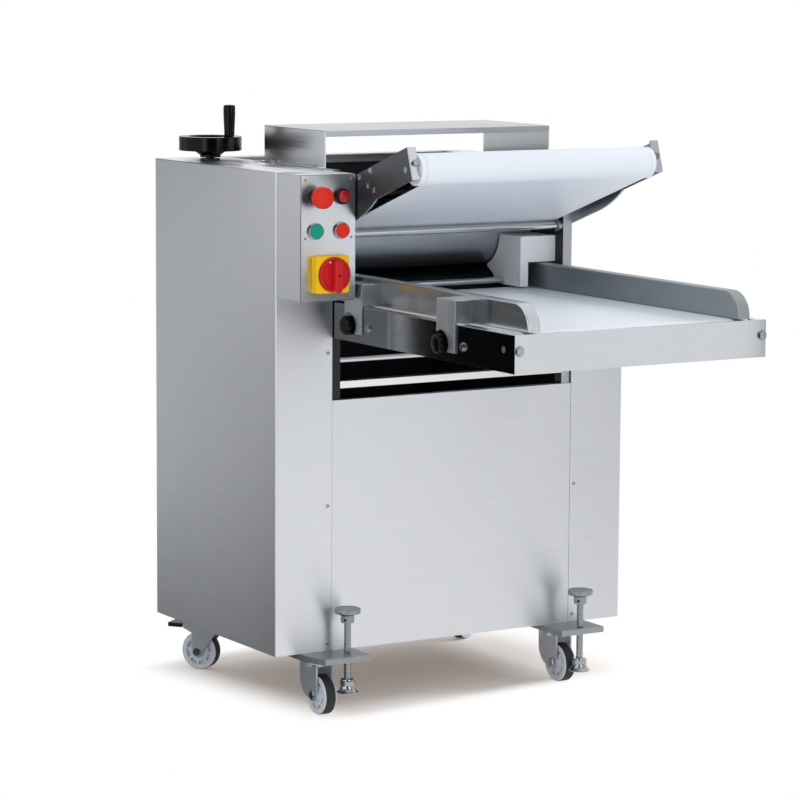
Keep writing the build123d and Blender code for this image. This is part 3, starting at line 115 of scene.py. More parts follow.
class Solid(Enum):
    """How one solid changes another."""

    CUT = "DIFFERENCE"
    MELT = "UNION"


class Grain(Enum):
    """Run of the brush lines on a sheet, as the long axes of one streak."""

    LEVEL = (True, True, False)
    UPRIGHT = (False, False, True)
    ACROSS = (True, False, False)
    DEEP = (False, True, False)


def linear(code: str) -> tuple[float, float, float, float]:
    """Turns an sRGB hex colour to linear light.

    Args:
        code: Six hex digits.

    Returns:
        Red, green, blue and alpha.
    """
    parts = [int(code[i : i + 2], 16) / 255 for i in (0, 2, 4)]
    light = [p / 12.92 if p <= 0.04045 else ((p + 0.055) / 1.055) ** 2.4 for p in parts]
    return (light[0], light[1], light[2], 1.0)


def add_node(
    tree: bpy.types.NodeTree,
    kind: str,
    settings: dict | None = None,
    links: dict | None = None,
) -> bpy.types.Node:
    """Adds a shader node with its settings and links.

    Args:
        tree: Node tree that gets the node.
        kind: Blender's type name of the node.
        settings: Values by property name, or by input name or number.
        links: Output sockets by input name or number.

    Returns:
        The new node.
    """
    node = tree.nodes.new(kind)
    for name, value in (settings or {}).items():
        if isinstance(name, int) or name in node.inputs:
            node.inputs[name].default_value = value
        else:
            setattr(node, name, value)
    for name, output in (links or {}).items():
        tree.links.new(output, node.inputs[name])
    return node


def metres(point: Sequence[float]) -> Vector:
    """Turns a place in millimetres to metres."""
    return Vector(point) * MM


def deselect() -> None:
    """Leaves edit mode and clears the selection."""
    active = bpy.context.view_layer.objects.active
    if active is not None and active.mode != "OBJECT":
        bpy.ops.object.mode_set(mode="OBJECT")
    bpy.ops.object.select_all(action="DESELECT")


def activate(piece: Piece) -> None:
    """Makes a piece the only selected one.

    Args:
        piece: Piece to select.
    """
    deselect()
    piece.select_set(True)
    bpy.context.view_layer.objects.active = piece


@contextmanager
def editing(piece: Piece) -> Iterator[None]:
    """Opens a piece in edit mode with all of it selected, and closes it at the end.

    Args:
        piece: Piece to edit.
    """
    activate(piece)
    bpy.ops.object.mode_set(mode="EDIT")
    bpy.ops.mesh.select_all(action="SELECT")
    yield
    bpy.ops.object.mode_set(mode="OBJECT")


def settle(piece: Piece, name: str) -> Piece:
    """Names a piece and puts its place into its mesh.

    Args:
        piece: Piece to settle.
        name: Its new name.

    Returns:
        The same piece.
    """
    activate(piece)
    bpy.ops.object.transform_apply(location=True, rotation=True, scale=True)
    piece.name = name
    piece.data.name = name
    return piece


def select(piece: Piece, kind: Pick, test: Callable) -> None:
    """Selects the points or edges of a piece in edit mode that pass a test.

    Args:
        piece: Piece that is edited.
        kind: What is selected.
        test: Takes a point or an edge and says whether it is selected.
    """
    bpy.ops.mesh.select_mode(type=kind.value)
    bpy.ops.mesh.select_all(action="DESELECT")
    shape = bmesh.from_edit_mesh(piece.data)
    shape.normal_update()
    for part in shape.verts if kind is Pick.POINTS else shape.edges:
        part.select_set(bool(test(part)))
    bmesh.update_edit_mesh(piece.data)


def bevel(width: float, segments: int) -> None:
    """Rounds the selected edges by a width in millimetres."""
    bpy.ops.mesh.bevel(offset=width * MM, segments=segments, affect="EDGES", clamp_overlap=True)


def modify(piece: Piece, kind: str, **settings: object) -> None:
    """Adds a modifier to a piece and applies it.

    Args:
        piece: Piece to change.
        kind: Blender's type name of the modifier.
        settings: Values of the modifier.
    """
    activate(piece)
    modifier = piece.modifiers.new(kind.lower(), kind)
    for name, value in settings.items():
        setattr(modifier, name, value)
    bpy.ops.object.modifier_apply(modifier=modifier.name)


def shade(piece: Piece, angle: float) -> None:
    """Shades a piece smooth up to an angle, with flat faces kept flat.

    Args:
        piece: Piece to shade.
        angle: Sharpest corner that is shaded smooth, in degrees.
    """
    activate(piece)
    bpy.ops.object.shade_smooth_by_angle(angle=math.radians(angle))
    modify(piece, "WEIGHTED_NORMAL", keep_sharp=True, weight=60)


def aim(piece: Piece, place: Sequence[float], axis: Sequence[float]) -> None:
    """Moves a piece from the origin to a place, with its +Z along an axis.

    Args:
        piece: Piece to move.
        place: Where its origin goes, in millimetres.
        axis: Where its +Z points.
    """
    piece.rotation_mode = "QUATERNION"
    piece.rotation_quaternion = Vector(UP).rotation_difference(Vector(axis))
    piece.location = metres(place)


def block(name: str, low: Sequence[float], high: Sequence[float]) -> Piece:
    """Models a box between two corners.

    Args:
        name: Name of the piece.
        low: Lowest corner in millimetres.
        high: Highest corner in millimetres.

    Returns:
        The new piece.
    """
    deselect()
    bpy.ops.mesh.primitive_cube_add(size=1, location=(metres(low) + metres(high)) / 2)
    piece = bpy.context.object
    piece.scale = metres(high) - metres(low)
    return settle(piece, name)


def turned(
    name: str,
    rings: Rings,
    place: Sequence[float] = ORIGIN,
    axis: Sequence[float] = UP,
    steps: int = 64,
    bored: bool = False,
) -> Piece:
    """Models a turned piece: a circle that is extruded and resized ring by ring.

    Args:
        name: Name of the piece.
        rings: Radius and height of each ring along the axis, in millimetres.
        place: Where height 0 is, in millimetres.
        axis: Direction of the heights.
        steps: Corners of each ring.
        bored: True where the last ring meets the first, round a bore.

    Returns:
        The new piece.
    """
    deselect()
    fill = "NOTHING" if bored else "NGON"
    radius, height = rings[0]
    bpy.ops.mesh.primitive_circle_add(vertices=steps, radius=radius * MM, fill_type=fill)
    piece = bpy.context.object
    with editing(piece):
        bpy.ops.transform.translate(value=(0, 0, height * MM))
        for next_radius, next_height in [*rings[1:], *(rings[:1] if bored else ())]:
            rise = (next_height - height) * MM
            bpy.ops.mesh.extrude_region_move(TRANSFORM_OT_translate={"value": (0, 0, rise)})
            share = next_radius / radius
            bpy.ops.transform.resize(value=(share, share, 1), center_override=ORIGIN)
            radius, height = next_radius, next_height
        bpy.ops.mesh.select_all(action="SELECT")
        bpy.ops.mesh.remove_doubles(threshold=TURNED_MERGE)
        bpy.ops.mesh.normals_make_consistent(inside=False)
    aim(piece, place, axis)
    return settle(piece, name)


def join(name: str, pieces: Sequence[Piece]) -> Piece:
    """Joins pieces of one finish into one mesh.

    Args:
        name: Name of the joined piece.
        pieces: Pieces to join.

    Returns:
        The joined piece.
    """
    deselect()
    for piece in pieces:
        piece.select_set(True)
    bpy.context.view_layer.objects.active = pieces[0]
    bpy.ops.object.join()
    return settle(pieces[0], name)


def combine(piece: Piece, others: Sequence[Piece], operation: Solid) -> Piece:
    """Cuts other pieces out of a piece, or melts them into it, and removes them.

    Args:
        piece: Piece to change.
        others: Pieces that are used up.
        operation: Whether they are cut out or added.

    Returns:
        The same piece.
    """
    for other in others:
        modify(piece, "BOOLEAN", object=other, operation=operation.value, solver="EXACT")
        bpy.data.objects.remove(other)
    return piece


def twin(piece: Piece, name: str, place: Sequence[float], axis: Sequence[float]) -> Piece:
    """Copies a piece that was modelled at the origin to a place, with its own mesh.

    Args:
        piece: Piece to copy.
        name: Name of the copy.
        place: Where its origin goes, in millimetres.
        axis: Where its +Z points.

    Returns:
        The copy.
    """
    copy = piece.copy()
    copy.data = piece.data.copy()
    bpy.context.scene.collection.objects.link(copy)
    aim(copy, place, axis)
    return settle(copy, name)


def spread(master: Piece, spots: Iterable[Spot]) -> list[Piece]:
    """Copies a piece to each place and axis, and removes the first one.

    Args:
        master: Piece at the origin.
        spots: Place in millimetres and axis of each copy.

    Returns:
        The copies.
    """
    copies = [twin(master, f"{master.name}_{i}", *spot) for i, spot in enumerate(spots)]
    bpy.data.objects.remove(master)
    return copies


def ring_of(master: Piece, count: int) -> list[Piece]:
    """Copies a piece round +Z in equal steps, and removes the first one.

    Args:
        master: Piece beside the axis.
        count: How many copies there are.

    Returns:
        The copies.
    """
    copies = spread(master, [(ORIGIN, UP)] * count)
    for i, copy in enumerate(copies):
        copy.rotation_mode = "XYZ"
        copy.rotation_euler = (0, 0, math.tau * i / count)
        settle(copy, copy.name)
    return copies


def round_edges(piece: Piece, width: float, test: Callable, segments: int = 3) -> Piece:
    """Rounds the edges of a piece that pass a test.

    Args:
        piece: Piece to change.
        width: Width of the rounding in millimetres.
        test: Takes an edge and says whether it is rounded.
        segments: Facets of the rounding.

    Returns:
        The same piece.
    """
    with editing(piece):
        select(piece, Pick.EDGES, test)
        bevel(width, segments)
    return piece


def split_level(piece: Piece, height: float) -> None:
    """Splits the faces of a piece along a level line, at a height in millimetres."""
    with editing(piece):
        bpy.ops.mesh.bisect(plane_co=metres((0, 0, height)), plane_no=UP)


def runs_along(axis: int) -> Callable:
    """Test for edges that run along an axis."""
    return lambda e: abs((e.verts[0].co - e.verts[1].co).normalized()[axis]) > RUNS


def lies_at(axis: int, value: float) -> Callable:
    """Test for edges that lie at a value of an axis, in millimetres."""
    return lambda e: all(abs(v.co[axis] - value * MM) < MERGE for v in e.verts)


def run_across(corner: bmesh.types.BMLoop) -> float:
    """Measures how far a face runs on from one of its edges, square to that edge.

    Args:
        corner: The face's corner where the edge starts.

    Returns:
        The shortest run of three across the face, in millimetres.
    """
    start, end = corner.vert.co, corner.link_loop_next.vert.co
    along = (end - start).normalized()
    inward = corner.face.normal.cross(along)
    runs = [math.inf]
    for share in (0.2, 0.5, 0.8):
        point = start.lerp(end, share)
        for edge in corner.face.edges:
            if edge is corner.edge:
                continue
            reaches = [v.co - point for v in edge.verts]
            (u0, v0), (u1, v1) = ((reach.dot(along), reach.dot(inward)) for reach in reaches)
            if u0 * u1 <= 0 and abs(u1 - u0) > NO_LENGTH:
                runs.append(v0 - u0 * (v1 - v0) / (u1 - u0))
    return min(run for run in runs if run > NO_LENGTH) / MM


def room_beside(edge: bmesh.types.BMEdge) -> float:
    """Narrower run of the two faces that meet in an edge, in millimetres."""
    return min(run_across(corner) for corner in edge.link_loops)


def turns_out(edge: bmesh.types.BMEdge, least: float) -> bool:
    """True where two faces meet in an outward corner of at least so many degrees."""
    return len(edge.link_faces) == 2 and edge.calc_face_angle_signed() > math.radians(least)


def softened(node: str, name: str, bend: float = 0.0, deburr: float = 0.4) -> Piece:
    """Copies a CAD node and rounds it: folds by the bend radius, cut edges by a slight deburring.

    Args:
        node: CAD node that is copied.
        name: Name of the new piece.
        bend: Bend radius of the sheet in millimetres, or 0 for none.
        deburr: Width of the broken edges in millimetres.

    Returns:
        The new piece.
    """
    piece = bpy.data.objects.new(name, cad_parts[node].data.copy())
    bpy.context.scene.collection.objects.link(piece)
    piece.data.name = name
    piece.data.materials.clear()
    activate(piece)
    bpy.ops.mesh.customdata_custom_splitnormals_clear()
    with editing(piece):
        bpy.ops.mesh.remove_doubles(threshold=MERGE)
        bpy.ops.mesh.dissolve_limited(angle_limit=math.radians(FLAT_CORNER))
        if bend:
            select(piece, Pick.EDGES, lambda e: turns_out(e, FOLD_CORNER) and room_beside(e) > FOLD_ROOM)
            bevel(bend, 4)
        room = DEBURR_ROOM * deburr
        select(piece, Pick.EDGES, lambda e: turns_out(e, CUT_CORNER) and room_beside(e) > room)
        bevel(deburr, 2)
    modify(piece, "TRIANGULATE", min_vertices=5)
    return piece


@dataclass(frozen=True)
class Finish:
    """A surface finish with its plain shader values.

    Attributes:
        name: Real material and how its surface was made.
        colour: sRGB hex colour.
        metallic: 1 for bare metal.
        roughness: Middle roughness.
        spread: How far the roughness varies to each side.
        mottle: Share by which the colour varies.
        cell: Size of one cell of the pattern along each axis, in millimetres.
        relief: Strength of the pattern's bump, and its depth in millimetres.
    """

    name: str
    colour: str
    metallic: float = 0.0
    roughness: float = 0.4
    spread: float = 0.05
    mottle: float = 0.05
    cell: Point = (6.0, 6.0, 6.0)
    relief: Pair = (0.1, 0.05)

    def cells(self) -> Point:
        """Size of one cell of the pattern along each axis, in millimetres."""
        return self.cell

    def pattern(self, tree: bpy.types.NodeTree, cells: Point) -> bpy.types.NodeSocket:
        """Adds a noise with cells of a real size on Object coordinates.

        Args:
            tree: Node tree of the material.
            cells: Size of one cell along each axis, in millimetres.

        Returns:
            The noise's value.
        """
        place = add_node(tree, "ShaderNodeTexCoord")
        scale = [1 / (size * MM) for size in cells]
        fit = add_node(tree, "ShaderNodeMapping", {"Scale": scale}, {"Vector": place.outputs["Object"]})
        settings = {"Scale": 1.0, "Detail": 2.0}
        noise = add_node(tree, "ShaderNodeTexNoise", settings, {"Vector": fit.outputs["Vector"]})
        return noise.outputs["Fac"]

    def extras(self, shader: bpy.types.Node) -> None:
        """Sets further plain values of the shader."""

    def material(self) -> bpy.types.Material:
        """Makes the material, or gives the one that is there.

        Returns:
            The finish's material.
        """
        found = bpy.data.materials.get(self.name)
        if found is not None:
            return found
        made = bpy.data.materials.new(self.name)
        made.use_nodes = True
        tree = made.node_tree
        shader = tree.nodes["Principled BSDF"]
        shader.inputs["Metallic"].default_value = self.metallic
        self.extras(shader)
        fine = self.pattern(tree, self.cells())
        broad = self.pattern(tree, (CLOUD, CLOUD, CLOUD))
        both = add_node(tree, "ShaderNodeMath", {"operation": "ADD"}, {0: fine, 1: broad})
        values = []
        for centre, share in ((1.0, self.mottle), (self.roughness, self.spread)):
            settings = {"From Min": NOISE_SPAN[0], "From Max": NOISE_SPAN[1]}
            settings |= {"To Min": centre - share, "To Max": centre + share}
            values.append(add_node(tree, "ShaderNodeMapRange", settings, {0: both.outputs[0]}).outputs[0])
        tint, rough = values
        settings = {"operation": "SCALE", 0: linear(self.colour)[:3]}
        colour = add_node(tree, "ShaderNodeVectorMath", settings, {"Scale": tint})
        settings = {"Strength": self.relief[0], "Distance": self.relief[1] * MM}
        bump = add_node(tree, "ShaderNodeBump", settings, {"Height": fine})
        tree.links.new(colour.outputs[0], shader.inputs["Base Color"])
        tree.links.new(rough, shader.inputs["Roughness"])
        tree.links.new(bump.outputs["Normal"], shader.inputs["Normal"])
        return made


@dataclass(frozen=True)
class BrushedSheet(Finish):
    """Stainless sheet with belt-brushed lines, which blur what it mirrors and show as fine streaks.

    Attributes:
        relief: Brush lines are only microns deep.
        grain: Run of the brush lines.
        line: Width of one line in millimetres; real ones are near 0.2 and are drawn coarser to show.
        length: Length of one line in millimetres.
        stretch: How far level lines draw reflections up and down, from 0 to 1.
    """

    metallic: float = 1.0
    relief: Pair = (0.06, 0.02)
    grain: Grain = Grain.LEVEL
    line: float = 2.6
    length: float = 190.0
    stretch: float = 0.85

    def cells(self) -> Point:
        """Size of one brush line along each axis, in millimetres."""
        sizes = [self.length if long else self.line for long in self.grain.value]
        return (sizes[0], sizes[1], sizes[2])

    def extras(self, shader: bpy.types.Node) -> None:
        """Stretches reflections up and down across level brush lines.

        Args:
            shader: Shader of the finish.
        """
        if self.grain is Grain.LEVEL:
            tree = shader.id_data
            around = add_node(tree, "ShaderNodeTangent", {"direction_type": "RADIAL", "axis": "Z"})
            tree.links.new(around.outputs["Tangent"], shader.inputs["Tangent"])
            shader.inputs["Anisotropic"].default_value = self.stretch
            shader.inputs["Anisotropic Rotation"].default_value = QUARTER_TURN


@dataclass(frozen=True)
class PolishedMetal(Finish):
    """Polished or plated metal, with faint wipe marks that cloud the mirror.

    Attributes:
        cell: Wipe marks are a few centimetres long.
        relief: A polished sheet is never quite flat.
    """

    metallic: float = 1.0
    roughness: float = 0.12
    spread: float = 0.04
    mottle: float = 0.02
    cell: Point = (45.0, 30.0, 12.0)
    relief: Pair = (0.03, 0.1)


@dataclass(frozen=True)
class CoatedSteel(Finish):
    """Zinc-plated, cast or painted metal, with a fine grain that scatters light.

    Attributes:
        cell: Crystals or sand grains, drawn coarser than real to show.
        relief: Grain of a plated or cast skin.
    """

    metallic: float = 1.0
    roughness: float = 0.42
    spread: float = 0.1
    mottle: float = 0.12
    cell: Point = (1.8, 1.8, 1.8)
    relief: Pair = (0.25, 0.08)


@dataclass(frozen=True)
class MouldedPlastic(Finish):
    """Moulded plastic with a slight orange peel under its gloss.

    Attributes:
        cell: Orange peel waves are about 2 mm wide.
        relief: Shallow moulded relief.
        gloss: How strongly the skin mirrors.
    """

    roughness: float = 0.32
    mottle: float = 0.04
    cell: Point = (2.2, 2.2, 2.2)
    relief: Pair = (0.04, 0.05)
    gloss: float = 0.3

    def extras(self, shader: bpy.types.Node) -> None:
        """Sets the index of the plastic and how strongly its skin mirrors."""
        shader.inputs["IOR"].default_value = PLASTIC_IOR
        shader.inputs["Specular IOR Level"].default_value = self.gloss


@dataclass(frozen=True)
class BeltCover(MouldedPlastic):
    """White polyurethane cover of a food belt, whose fabric shows through as a fine weave.

    Attributes:
        cell: Threads of the carcass, drawn a little coarser than real.
        relief: Print of the fabric in the cover.
    """

    roughness: float = 0.42
    mottle: float = 0.02
    cell: Point = (1.4, 1.4, 1.4)
    relief: Pair = (0.05, 0.04)


class Finishes:
    """The finishes of the press, by what the real surfaces are, and those that carry painted shade or a
    painted highlight.
    """

    # Sheet brushed along its length: pale, blurred, with level streaks
    side_sheet = BrushedSheet("stainless_sheet_brushed_level", "E4E6EA")
    # The control face, brushed finer: a little lighter and softer
    face_sheet = BrushedSheet(
        "stainless_face_brushed_fine", "DADDE1", roughness=0.28, spread=0.02, mottle=0.02, line=0.7
    )
    # Painted shade: a darker copy of the polished sheet on the table's left face, a deep mirror
    painted_shade_mirror = PolishedMetal("stainless_mirror_painted_shade", "8A8E92", roughness=0.08, spread=0.02)
    # Painted shade: a dark copy of the plate on the upper conveyor's left face, with a soft sheen
    painted_shade_sheet = PolishedMetal("stainless_plate_painted_shade", "63676B", roughness=0.42)
    # Painted highlight: thin white lines on the front panel's folds and the lower tie bars
    painted_highlight_sheet = PolishedMetal("stainless_painted_highlight", "F2F3F5", roughness=0.3)
    # Ground plate edges: dull silver
    frame_plate = BrushedSheet("steel_plate_ground", "B9BDC1", roughness=0.38, grain=Grain.UPRIGHT)
    # Painted shade inside the press: plate coloured nearly black where the inside lies in shade
    painted_shade_plate = CoatedSteel("steel_plate_painted_shade", "17191B", metallic=0.0, roughness=0.62, mottle=0.2)
    # Polished sheet: a clear mirror that shows dark beside light
    polished_sheet = PolishedMetal("stainless_sheet_polished", "CDD0D4", roughness=0.08, spread=0.02)
    # Satin sheet of the right conveyor plate: light gray, no mirror
    satin_sheet = BrushedSheet("stainless_sheet_satin", "C2C7CC", roughness=0.42, grain=Grain.DEEP)
    # Guard sheet, rolled and brushed lengthwise: half a mirror
    guard_sheet = BrushedSheet(
        "stainless_guard_brushed", "C6CACE", roughness=0.22, spread=0.03, grain=Grain.DEEP
    )
    # Satin guard: even gray, no mirror
    guard_satin = BrushedSheet("stainless_guard_satin", "A4AAAD", roughness=0.5, grain=Grain.DEEP)
    # Hangers, brushed upright: gray with bright folds
    hanger_sheet = BrushedSheet("stainless_hanger_brushed", "C2C6CA", roughness=0.34, grain=Grain.UPRIGHT)
    # Bridge sheet: a bright mirror with a soft blur
    bridge_sheet = BrushedSheet(
        "stainless_bridge_bright", "EEF0F2", roughness=0.22, mottle=0.03, line=2.0, stretch=0.0
    )
    # Bridge top, wiped front to back: light and dark streaks
    bridge_top = BrushedSheet(
        "stainless_bridge_wiped",
        "B9BCC0",
        roughness=0.3,
        mottle=0.3,
        grain=Grain.DEEP,
        line=16.0,
        length=420.0,
    )
    # Folded lip of the bridge: a duller gray
    bridge_lip = BrushedSheet("stainless_lip_dull", "BCC0C4", roughness=0.3, mottle=0.12, grain=Grain.ACROSS)
    # Polished bar: bright streak with dark sides
    polished_bar = PolishedMetal("steel_bar_polished", "CDD0D3", roughness=0.16)
    # Ground roller: gray, with a long soft highlight
    ground_roller = PolishedMetal("roller_steel_ground", "B0B5B9", roughness=0.42)
    # Painted shade on the lower roller: nearly black in its nest
    painted_shade_roller = PolishedMetal("roller_steel_painted_shade", "2C2F32", roughness=0.42)
    # Blasted guide sheet: even pale gray
    guide_sheet = BrushedSheet(
        "guide_sheet_blasted", "EEF0F2", metallic=0.1, roughness=0.62, grain=Grain.DEEP
    )
    # Turned steel: gray with a soft shine
    turned_steel = PolishedMetal("steel_turned", "A0A4A8", roughness=0.28)
    # Cold-headed stainless bolts: small bright and dark facets
    bolt_steel = PolishedMetal("bolt_stainless", "A9ADB1", roughness=0.2)
    # Dull zinc on thick plate: cloudy dark gray
    zinc_plate = CoatedSteel("steel_zinc_plated", "9BA1A3", metallic=0.8, roughness=0.44, mottle=0.2)
    # Galvanised pressing: light bluish gray with a bright sheen
    zinc_fork = CoatedSteel("steel_pressed_zinc", "BCC1C7", metallic=0.6, roughness=0.36, mottle=0.08)
    # Die-cast zinc: mid gray with a sandy grain
    zinc_cast = CoatedSteel("zinc_casting", "9BA0A2", roughness=0.44)
    # Turned zinc foot: smooth, with bright and dark rings
    zinc_turned = PolishedMetal("zinc_turned", "A6ABAE", roughness=0.22)
    # Black painted castings: dull and rough
    cast_iron = CoatedSteel("iron_cast_painted", "1B1C1E", metallic=0.0, roughness=0.5)
    # Satin motor paint: dull blue-gray
    motor_paint = CoatedSteel("motor_paint_satin", "4A5A66", metallic=0.0, roughness=0.4)
    # Pressed phenolic: deep black with sharp strips of light
    bakelite = MouldedPlastic("bakelite_black_gloss", "060607", roughness=0.16, gloss=0.16)
    # Nylon mouldings: soft black
    black_plastic = MouldedPlastic("nylon_black_satin", "121314", roughness=0.42)
    # Mushroom head and stop button: warm red
    red_plastic = MouldedPlastic("abs_red", "DA2C1D", roughness=0.4, gloss=0.2)
    # Switch dial: deeper red
    dial_plastic = MouldedPlastic("abs_red_dial", "C41C1E", roughness=0.36, gloss=0.25)
    # Lamp lens: dark clear red
    lens_plastic = MouldedPlastic("acrylic_red_lens", "A3121F", roughness=0.2, gloss=0.4)
    # Start button: blue-green
    green_plastic = MouldedPlastic("abs_green", "06997E", roughness=0.4, gloss=0.2)
    # Switch plate: strong yellow
    yellow_plastic = MouldedPlastic("abs_yellow", "F2C412", roughness=0.42, gloss=0.2)
    # Printed index on the dial: plain white
    white_mark = MouldedPlastic("abs_white_mark", "F0F0EE", roughness=0.5, gloss=0.2)
    # Chromed rings: bright thin circles
    chrome_ring = PolishedMetal("brass_ring_chromed", "B4B7BA", roughness=0.1)
    # Belt cover: cool white
    belt = BeltCover("belt_polyurethane_white", "E8EDF4")
    # Caster rims of nylon: pale gray
    wheel_plastic = MouldedPlastic("polyamide_light_gray", "D0D4DA", roughness=0.5)
    # Caster treads of rubber: dark and rough
    tread_rubber = CoatedSteel("rubber_dark_gray", "26292B", metallic=0.0, roughness=0.75, mottle=0.3)


def dress(
    piece: Piece,
    finish: Finish,
    body: str,
    stands_for: Iterable[str] = (),
    angle: float = SMOOTH_CORNER,
) -> Piece:
    """Gives a new piece its finish, shading and body.

    Args:
        piece: Piece that is ready in shape.
        finish: Its finish.
        body: CAD body that it moves with.
        stands_for: CAD nodes that it replaces.
        angle: Sharpest corner that is shaded smooth, in degrees.

    Returns:
        The same piece.
    """
    shade(piece, angle)
    piece.data.materials.clear()
    piece.data.materials.append(finish.material())
    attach(piece, body)
    for node in stands_for:
        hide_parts(node)
    LOG.info("%s on %s", piece.name, body)
    return piece


def dress_node(
    node: str,
    name: str,
    finish: Finish,
    bend: float = 0.0,
    deburr: float = 0.4,
    body: str = "cabinet",
    angle: float = SMOOTH_CORNER,
) -> Piece:
    """Softens a copy of a CAD node and dresses it in the node's place.

    Args:
        node: CAD node that is copied and replaced.
        name: Name of the new piece.
        finish: Its finish.
        bend: Bend radius of the sheet in millimetres, or 0 for none.
        deburr: Width of the broken edges in millimetres.
        body: CAD body that it moves with.
        angle: Sharpest corner that is shaded smooth, in degrees.

    Returns:
        The new piece.
    """
    return dress(softened(node, name, bend, deburr), finish, body, [node], angle)


def dress_faces(piece: Piece, finish: Finish, test: Callable) -> None:
    """Gives some faces of a dressed piece a further finish.

    Args:
        piece: Dressed piece.
        finish: Finish of those faces.
        test: Takes a face and says whether it gets the finish.
    """
    piece.data.materials.append(finish.material())
    index = len(piece.data.materials) - 1
    for face in piece.data.polygons:
        if test(face):
            face.material_index = index


def keep(finish: Finish, *nodes: str) -> None:
    """Keeps CAD nodes as they are and gives them a finish.

    Args:
        finish: Finish of the nodes.
        nodes: CAD nodes that stay.
    """
    for node in nodes:
        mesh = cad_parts[node].data
        mesh.materials.clear()
        mesh.materials.append(finish.material())
        LOG.info("%s kept", node)


def corners(node: str) -> tuple[Vector, Vector]:
    """Lowest and highest corner of a CAD node, in millimetres."""
    low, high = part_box(node)
    return Vector(low) / MM, Vector(high) / MM


def middle(node: str) -> Vector:
    """Middle of a CAD node, in millimetres."""
    low, high = corners(node)
    return (low + high) / 2


@dataclass(frozen=True)
class Lamp:
    """A soft lamp of the studio.

    Attributes:
        name: Name of the lamp.
        place: Where it hangs, in millimetres.
        target: Where it points, in millimetres.
        sides: Its width and height in millimetres.
        power: Its power in watts.
        mirrored: True where glossy surfaces show it.
    """

    name: str
    place: Point
    target: Point
    sides: Pair
    power: float
    mirrored: bool = False

    def build(self) -> None:
        """Hangs the lamp where the camera doesn't see it."""
        data = bpy.data.lights.new(self.name, "AREA")
        data.shape = "RECTANGLE"
        data.energy = self.power
        data.size, data.size_y = (side * MM for side in self.sides)
        lamp = bpy.data.objects.new(self.name, data)
        bpy.context.scene.collection.objects.link(lamp)
        lamp.location = metres(self.place)
        lamp.rotation_mode = "QUATERNION"
        lamp.rotation_quaternion = (metres(self.target) - metres(self.place)).to_track_quat("-Z", "Y")
        lamp.visible_camera = False
        lamp.visible_glossy = self.mirrored


@dataclass(frozen=True)
class Card:
    """A card of matt cloth, far from the press, that only glossy surfaces show.

    Attributes:
        name: Name of the card.
        colour: Its cloth's colour as sRGB hex.
    """

    name: str
    colour: str

    def hang(self, place: Vector, turn: Quaternion, sides: Pair) -> None:
        """Makes the card.

        Args:
            place: Its middle in millimetres.
            turn: Its turn from lying flat.
            sides: Its sides in millimetres.
        """
        deselect()
        bpy.ops.mesh.primitive_plane_add(size=1)
        card = bpy.context.object
        card.name = self.name
        card.scale = (sides[0] * MM, sides[1] * MM, 1)
        card.rotation_mode = "QUATERNION"
        card.rotation_quaternion = turn
        card.location = metres(place)
        material = bpy.data.materials.new(f"{self.name}_cloth")
        material.use_nodes = True
        shader = material.node_tree.nodes["Principled BSDF"]
        shader.inputs["Base Color"].default_value = linear(self.colour)
        shader.inputs["Roughness"].default_value = 0.9
        shader.inputs["Specular IOR Level"].default_value = 0.0
        card.data.materials.append(material)
        for rays in ("camera", "diffuse", "shadow", "transmission"):
            setattr(card, f"visible_{rays}", False)


@dataclass(frozen=True)
class StandingCard(Card):
    """A card that stands upright and faces the press.

    Attributes:
        way: Direction on the floor from the press to the card.
        distance: How far off it stands, in millimetres.
        span: Where it starts and ends across that direction, in millimetres.
        heights: Its lower and upper edge in millimetres.
    """

    way: Pair
    distance: float
    span: Pair
    heights: Pair

    def build(self) -> None:
        """Stands the card up."""
        outward = Vector((*self.way, 0))
        across = outward.cross(Vector(UP))
        foot = outward * self.distance + across * (sum(self.span) / 2)
        place = foot + Vector(UP) * (sum(self.heights) / 2)
        sides = (self.span[1] - self.span[0], self.heights[1] - self.heights[0])
        self.hang(place, (-outward).to_track_quat("Z", "Y"), sides)


@dataclass(frozen=True)
class FloorCard(Card):
    """A card that lies on the floor.

    Attributes:
        low: Its lowest X and Y in millimetres.
        high: Its highest X and Y in millimetres.
        rise: How far it lies above the floor, in millimetres.
    """

    low: Pair
    high: Pair
    rise: float = 1.0

    def build(self) -> None:
        """Lays the card down."""
        place = Vector(((self.low[0] + self.high[0]) / 2, (self.low[1] + self.high[1]) / 2, self.rise))
        self.hang(place, Quaternion(), (self.high[0] - self.low[0], self.high[1] - self.low[1]))


